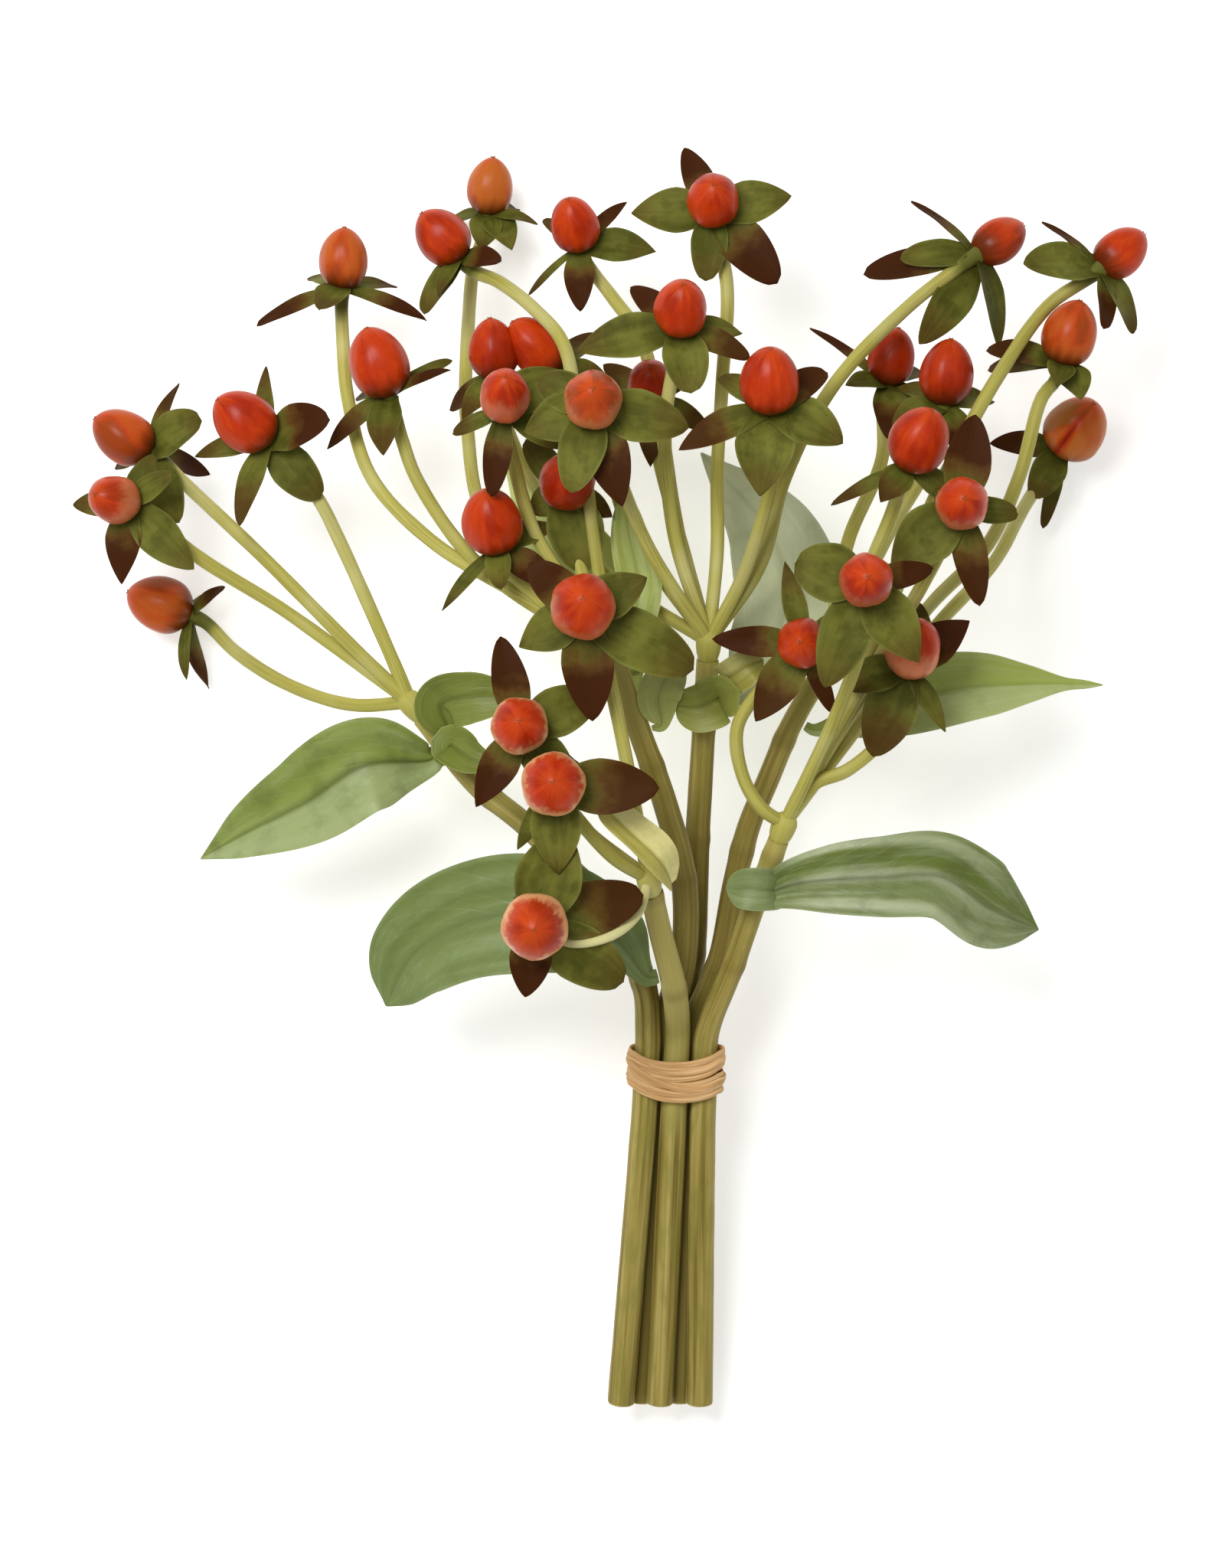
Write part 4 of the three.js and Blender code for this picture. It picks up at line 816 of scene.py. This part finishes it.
def addBerry(skin, berry, seed):
    calyx, axis = seatOf(berry)
    east = axis.orthogonal().normalized()
    north = axis.cross(east)
    long, wide = berry["size"]
    length = berryMake["length"] * long
    tone, rim, seam = [berry.get(label, 0) for label in ("tone", "rim", "seam")]
    turn = seed * 2.3

    def fleshPoint(up, spot, angle, out):
        lobing = sin(pi * min(up * 1.15, 1)) * berryMake["lobeDepth"]
        ribbing = cos(berryMake["ribs"] * angle + 2 * sin(3 * angle + turn))
        swell = berryMake["girth"] + lobing * cos(berryMake["lobes"] * angle + turn)
        swell += berryMake["ribDepth"] * ribbing
        swell += berryMake["lump"] * lumps(out * 1.2 + axis * (up * 2), seed)
        crease = seam * exp(-((angle - pi) / berryMake["seamWidth"]) ** 2) * sin(pi * up)
        swell -= berryMake["seamDepth"] * crease
        grain = (cos(angle) * 0.5, sin(angle) * 0.5, up)
        # The tint's last number is how strong the painted pale sheen is.
        tint = (tone - berryMake["seamTone"] * crease, seed, rim)
        return max(berryGirth(up) * (berryMake["radius"] * wide) * swell, 0.03), grain, tint

    stations = []
    for share in evenShares(berryMake["along"]):
        up = 0.5 - 0.5 * cos(pi * share)
        stations.append((up, calyx + axis * (up * length * berryMake["fleshEnd"]), east, north))
    skin.addTube(ringsAt(stations, berryMake["around"], fleshPoint))
    addStyles(skin, calyx + axis * (length * berryMake["styleRoot"]), axis, east, north, seed)


def addStyles(skin, root, axis, east, north, seed):  # short and dried, at the berry's tip
    thick, thin = berryMake["styleRadii"]
    for k in range(berryMake["styles"]):
        angle = tau * k / berryMake["styles"] + seed
        out = east * cos(angle) + north * sin(angle)
        tip = root + axis * berryMake["styleRise"] + out * 0.55
        way = bentWay(root + out * 0.2, root + axis * 0.5 + out * 0.25, tip)

        def stylePoint(share, spot, angle, out):
            return thick - (thick - thin) * share, (0, 0, 1.05), (0, seed, 0)

        skin.addTube(ringsAt(acrossWay(way, evenShares(4)), 6, stylePoint))


def addSepal(skin, berry, number, seed):
    calyx, axis = seatOf(berry)
    *tip, width, maroon = berry["sepals"][number]
    reach = Vector(tip)
    bend = calyx + reach * 0.5 + axis * sepalMake["arch"]
    way = bentWay(calyx, bend, calyx + reach)
    least, most = sepalMake["stretch"]
    stretch = min(max(reach.length / sepalMake["length"], least), most)
    half = sepalMake["width"] / 2 * berry["size"][0] * stretch * width
    waist, base, start = sepalMake["waist"], sepalMake["base"], sepalMake["start"]
    tipShape = 0.7 + 0.25 * sin(seed * 5)
    facing = (axis + Vector((0, 0, sepalMake["turn"]))).normalized()

    def fullness(share):
        if share < waist:
            return base + (1 - base) * easedStep(0.02, waist, share)
        return max(cos(pi / 2 * (share - waist) / (1 - waist)), 0) ** tipShape + 0.02

    def lift(share, across):
        rise = sepalMake["cup"] * half * fullness(share) * abs(across) ** 1.6
        ripple = sepalMake["wave"] * sin(share * 9 + across * 2 + seed) * share
        return rise + ripple + sepalMake["layer"] * number

    shares = [start + (1 - start) * share for share in evenShares(sepalMake["steps"])]
    addBlade(skin, way, shares, sepalMake, lambda share: half * fullness(share), lift, lambda share: facing,
             lambda share, across: (across * 0.5, seed, share), lambda share, across, under: (maroon, 0, 0))


def addStalk(skin, berry, fork, seed, chance):
    calyx, axis = seatOf(berry)
    points = [calyx + axis * stalkMake["sunk"], calyx - axis * stalkMake["neck"]]
    way = wayThrough(points + berry["stalk"] + [fork])
    length, shade = lengthOf(way), berry.get("shade", chance)
    thin = stalkMake["radius"] * berry.get("slim", 1)

    def stalkPoint(share, spot, angle, out):
        reach = share * length
        collar = easedStep(stalkMake["green"] + 3, stalkMake["green"], reach)
        flare = max(0, 1 - reach / stalkMake["swell"]) ** 1.4
        bumps = stalkMake["ridge"] * cos(3 * angle + seed + reach * 0.02)
        bumps += stalkMake["lump"] * lumps(spot * 0.16, seed)
        radius = (thin + (stalkMake["collar"] - thin) * flare) * (stalkMake["girth"] + bumps)
        return radius, (cos(angle), sin(angle), reach * 0.05 + seed), (shade, collar, 0)

    stations = acrossWay(way, evenShares(stalkMake["steps"]))
    skin.addTube(ringsAt(stations, stalkMake["around"], stalkPoint))


def addKnuckle(skin, name, seed):
    heading = headingOn(stemWays[name], 1)
    side = heading.orthogonal().normalized()
    size, stations = bundle["knuckle"], []
    for share in evenShares(knuckleMake["steps"]):
        lean = pi * share
        drop = cos(lean) * size * (knuckleMake["tail"] if lean < pi / 2 else 1)
        stations.append((lean, forks[name] - heading * drop, side, heading.cross(side)))

    def knucklePoint(lean, spot, angle, out):
        radius = size * sin(lean) * (1 + knuckleMake["lump"] * lumps(out * 1.5, seed))
        grain = (cos(angle), sin(angle), lean * 0.1)
        return max(radius, 0.03), grain, (knuckleMake["shade"], 0, 0)

    skin.addTube(ringsAt(stations, knuckleMake["around"], knucklePoint))


def makeSpray(name, berryFinish, sepalFinish, stalkFinish, rng):
    fruit, calyxes, stalks = Skin(), Skin(), Skin()
    addKnuckle(stalks, name, rng.uniform(0, 9))
    for berry in sprays[name]:
        seed = rng.uniform(0, 30)
        addBerry(fruit, berry, seed)
        addStalk(stalks, berry, forks[name], seed, rng.uniform(0, 0.5))
        for number in range(5):
            addSepal(calyxes, berry, number, seed + number)
    node = "spray_" + name
    fruit.makePiece("berries_" + name, node, "berry", berryFinish)
    calyxes.makePiece("calyxes_" + name, node, "sepal", sepalFinish)
    stalks.makePiece("stalks_" + name, node, "stalk", stalkFinish)


# Leaves: thin folded blades with a midrib, side veins and lengthwise pleats.
leafMake = {
    "clear": 2, "thickness": 0.6, "columns": 34, "steps": 80, "wave": 0.45,
    "veinEvery": 7.854, "veinSweep": 25.2,  # how far each has run on by the time it meets the edge
    "ribDepth": 0.35, "ribSpread": 0.7, "ribWidth": 0.08,
    "paleOnes": ("leaf_folded", "leaf_collar_upper", "leaf_centre_pale"),
}


def leafRoot(look):  # where the blade leaves its stem, straight off the bark
    if "from" in look:
        return [look["from"]]
    carrier, at = stemWays[look["stem"]], look["at"]
    foot, heading = spotOn(carrier, at), headingOn(carrier, at)
    toward = Vector(look["spine"][0]) - foot
    toward = (toward - heading * toward.dot(heading)).normalized()
    root = foot + toward * (stemRadius(at) + bundle["seatGap"])
    return [root, root + toward * leafMake["clear"]]


def makeLeaf(name, number):
    look, skin = leaves[name], Skin()
    way = wayThrough(leafRoot(look) + look["spine"])
    length = lengthOf(way)
    faces = [Vector(face) for face in look["faces"]]
    half = look["width"] / 2
    pleats, pleatHeight = look["pleats"]

    def fullness(share):
        return max(smoothValue(outlines[look["outline"]], share), 0.015)

    def lift(share, across):
        full = fullness(share)
        rise = look["fold"] * (half * full) * abs(across) ** 1.25
        pleat = pleatHeight * cos(pi * pleats * across * 0.5) * full
        wave = leafMake["wave"] * sin(share * 11 + number * 2 + across) * across ** 2 * full
        rib = leafMake["ribDepth"] * exp(-(across * half / leafMake["ribSpread"]) ** 2) * full
        return rise + pleat * (1 - abs(across) ** 3) + wave - rib

    def grain(share, across):
        slant = share * length - abs(across) ** 0.8 * leafMake["veinSweep"]
        return across, slant * pi / leafMake["veinEvery"], share * length * 0.04 + number

    def tint(share, across, under):
        side = look["halves"][0] if across < 0 else look["halves"][1]
        rib = exp(-(across / leafMake["ribWidth"]) ** 2) * (1 - 0.6 * share)
        # A painted highlight in streaks along the pleats.
        band = cos(pi * pleats * across * 0.5 + sin(share * 6)) * look.get("ridgeHighlight", 0)
        band = max(band, 0) * easedStep(0, 0.2, share) * easedStep(1, 0.5, share)
        return side * easedStep(0, 0.12, abs(across)) + band, rib, under

    addBlade(skin, way, evenShares(leafMake["steps"]), leafMake, lambda share: half * fullness(share), lift,
             lambda share: faces[0].lerp(faces[1], share).normalized(), grain, tint)
    slotName = "leaf_pale" if name in leafMake["paleOnes"] else "leaf"
    skin.makePiece(name + "_blade", name, slotName, makeLeafFinish(name + "Green", look))


# The tie: raffia fibres wound side by side round the bundle's three corners, in two turns.
tieMake = {
    "slack": 0.45, "apart": 4.5, "slant": 0.03, "fibres": 3, "fibreWidth": 1.75, "fibreThickness": 0.75,
    "spacing": 1.4, "steps": 170, "cornerSteps": 24, "around": 12, "twist": 0.7, "raised": 0.8, "loose": 0.4,
    "sag": 2.4, "sagWidth": 9,  # how far the front hangs toward the cut ends
    "lift": 0.4, "stagger": 0.18, "crossingLift": 0.75, "crossingShade": 0.8,
}


def windingSpots(radius):
    corners = [Vector((places[name][0] * bundle["tiePitch"][0], places[name][1] * bundle["tiePitch"][1]))
               for name in ("right", "left", "centre")]
    points = []
    for k, corner in enumerate(corners):
        before, after = corners[k - 1], corners[(k + 1) % 3]
        start = atan2((corner - before).y, (corner - before).x) - pi / 2
        end = atan2((after - corner).y, (after - corner).x) - pi / 2
        for share in evenShares(tieMake["cornerSteps"]):
            angle = start + (end - start) % tau * share
            points.append(corner + Vector((cos(angle), sin(angle))) * radius)
    return evenly(points + [points[0]], tieMake["steps"])[:-1]


def roundLumps(share, size, seed):  # the same again after a whole turn
    return lumps(Vector((cos(tau * share) * size, sin(tau * share) * size, seed)))


def addFibre(skin, offsetAt, radius, seed, shade):
    along = bundle["along"]
    upright = (Vector((0, 0, 1)) - along * along.z).normalized()
    flat = upright.cross(along)
    spots = windingSpots(radius)
    rings = []
    for k, spot in enumerate(spots):
        ahead = (spots[(k + 1) % len(spots)] - spots[k - 1]).normalized()
        out = flat * ahead.y - upright * ahead.x
        share = k / len(spots)
        hang = max(0, 1 - (spot.x / tieMake["sagWidth"]) ** 2) - 0.45
        sag = tieMake["sag"] * hang * easedStep(-2, 4, spot.y)
        centre = bundle["tieCentre"] + flat * spot.x + upright * spot.y
        centre += along * (tieMake["raised"] + offsetAt(share, spot) - sag)
        wobble = roundLumps(share, 1.6, seed)
        lean = tieMake["twist"] * wobble
        wide = along * cos(lean) + out * sin(lean)
        thin = out * cos(lean) - along * sin(lean)
        ring = []
        for angle in [tau * m / tieMake["around"] for m in range(tieMake["around"])]:
            crimp = 1 + 0.12 * sin(5 * angle + seed)
            step = wide * (cos(angle) * tieMake["fibreWidth"] / 2 * (1 + 0.25 * wobble))
            step += thin * (sin(angle) * tieMake["fibreThickness"] / 2 * crimp)
            grain = (cos(angle), sin(angle) * 0.4, seed + 2.5 * sin(pi * share))
            ring.append((centre + step, grain, (shade, 0, 0)))
        rings.append(ring)
    skin.addTube(rings, shut=False)


def makeTie(material, rng):
    skin = Skin()
    inner = bundle["radii"][1] + tieMake["slack"]
    for end in (-1, 1):
        for fibre in range(tieMake["fibres"]):
            seed = rng.uniform(0, 20)
            place = end * tieMake["apart"] / 2 + (fibre - 1) * tieMake["spacing"]

            def offset(share, spot):
                slanted = place - spot.x * sin(end * tieMake["slant"])
                return slanted + tieMake["loose"] * roundLumps(share, 1, seed)

            radius = inner + tieMake["lift"] + tieMake["stagger"] * (fibre % 2)
            addFibre(skin, offset, radius, seed, rng.uniform(0, 0.35))

    def crossing(share, spot):  # one fibre that wanders from the one turn to the other and back
        return tieMake["apart"] * 0.45 * cos(tau * share + 0.6)

    addFibre(skin, crossing, inner + tieMake["crossingLift"], 7.0, tieMake["crossingShade"])
    skin.makePiece("raffia_strands", "raffia_tie", "raffia", material)


rng = random.Random(34)
stemFinish = makeStemFinish()
for stemName in places:
    makeStem(stemName, stemFinish)
print("stems made")
berryFinish, sepalFinish, stalkFinish = makeBerryFinish(), makeSepalFinish(), makeStalkFinish()
for stemName in places:
    makeSpray(stemName, berryFinish, sepalFinish, stalkFinish, rng)
print("sprays made")
for leafNumber, leafName in enumerate(leaves):
    makeLeaf(leafName, leafNumber)
print("leaves made")
makeTie(makeRaffiaFinish(), rng)
print("tie made")


# The table, the lights and the camera, in metres.
studio = {
    "table": "#f4f3f0", "tableLight": "#ffffff", "rough": 0.7, "gloss": 0.15,
    "tableSize": 3.0, "tableGlow": 0.45, "worldLight": 0.5,
    "lampPower": 5.8, "lampSize": 0.4, "lampAt": (-0.24, 0.28, 0.85),
    "cameraHeight": 1.147, "lens": 120, "sensor": 36,
}


def makeFloor():
    finish = Finish("paleTable", studio, "table")
    finish.wash("tableLight", finish.evenCloud(6, 2.0))
    finish.feed(finish.shader.inputs["Emission Color"], finish.skin)
    finish.shader.inputs["Emission Strength"].default_value = studio["tableGlow"]
    half = studio["tableSize"] / 2
    corners = [(-half, -half, 0), (half, -half, 0), (half, half, 0), (-half, half, 0)]
    mesh = bpy.data.meshes.new("floor")
    mesh.from_pydata(corners, [], [(0, 1, 2, 3)])
    mesh.materials.append(finish.done())
    placed("floor", mesh)


def makeLights():
    world = bpy.data.worlds.new("studio")
    world.use_nodes = True
    backdrop = world.node_tree.nodes["Background"]
    backdrop.inputs["Color"].default_value = (1, 1, 1, 1)
    backdrop.inputs["Strength"].default_value = studio["worldLight"]
    bpy.context.scene.world = world
    light = bpy.data.lights.new("softBox", "AREA")
    light.shape = "DISK"
    light.size = studio["lampSize"]
    light.energy = studio["lampPower"]
    lamp = placed("softBox", light)
    lamp.location = studio["lampAt"]
    lamp.rotation_euler = (-lamp.location).to_track_quat("-Z", "Y").to_euler()


def makeCamera():
    data = bpy.data.cameras.new("overhead")
    data.lens = studio["lens"]
    data.sensor_width = studio["sensor"]
    data.clip_end = 10
    camera = placed("overhead", data)
    camera.location = (0, 0, studio["cameraHeight"])
    bpy.context.scene.camera = camera


makeFloor()
makeLights()
makeCamera()
bpy.context.scene.view_settings.view_transform = "Standard"
print("studio ready")
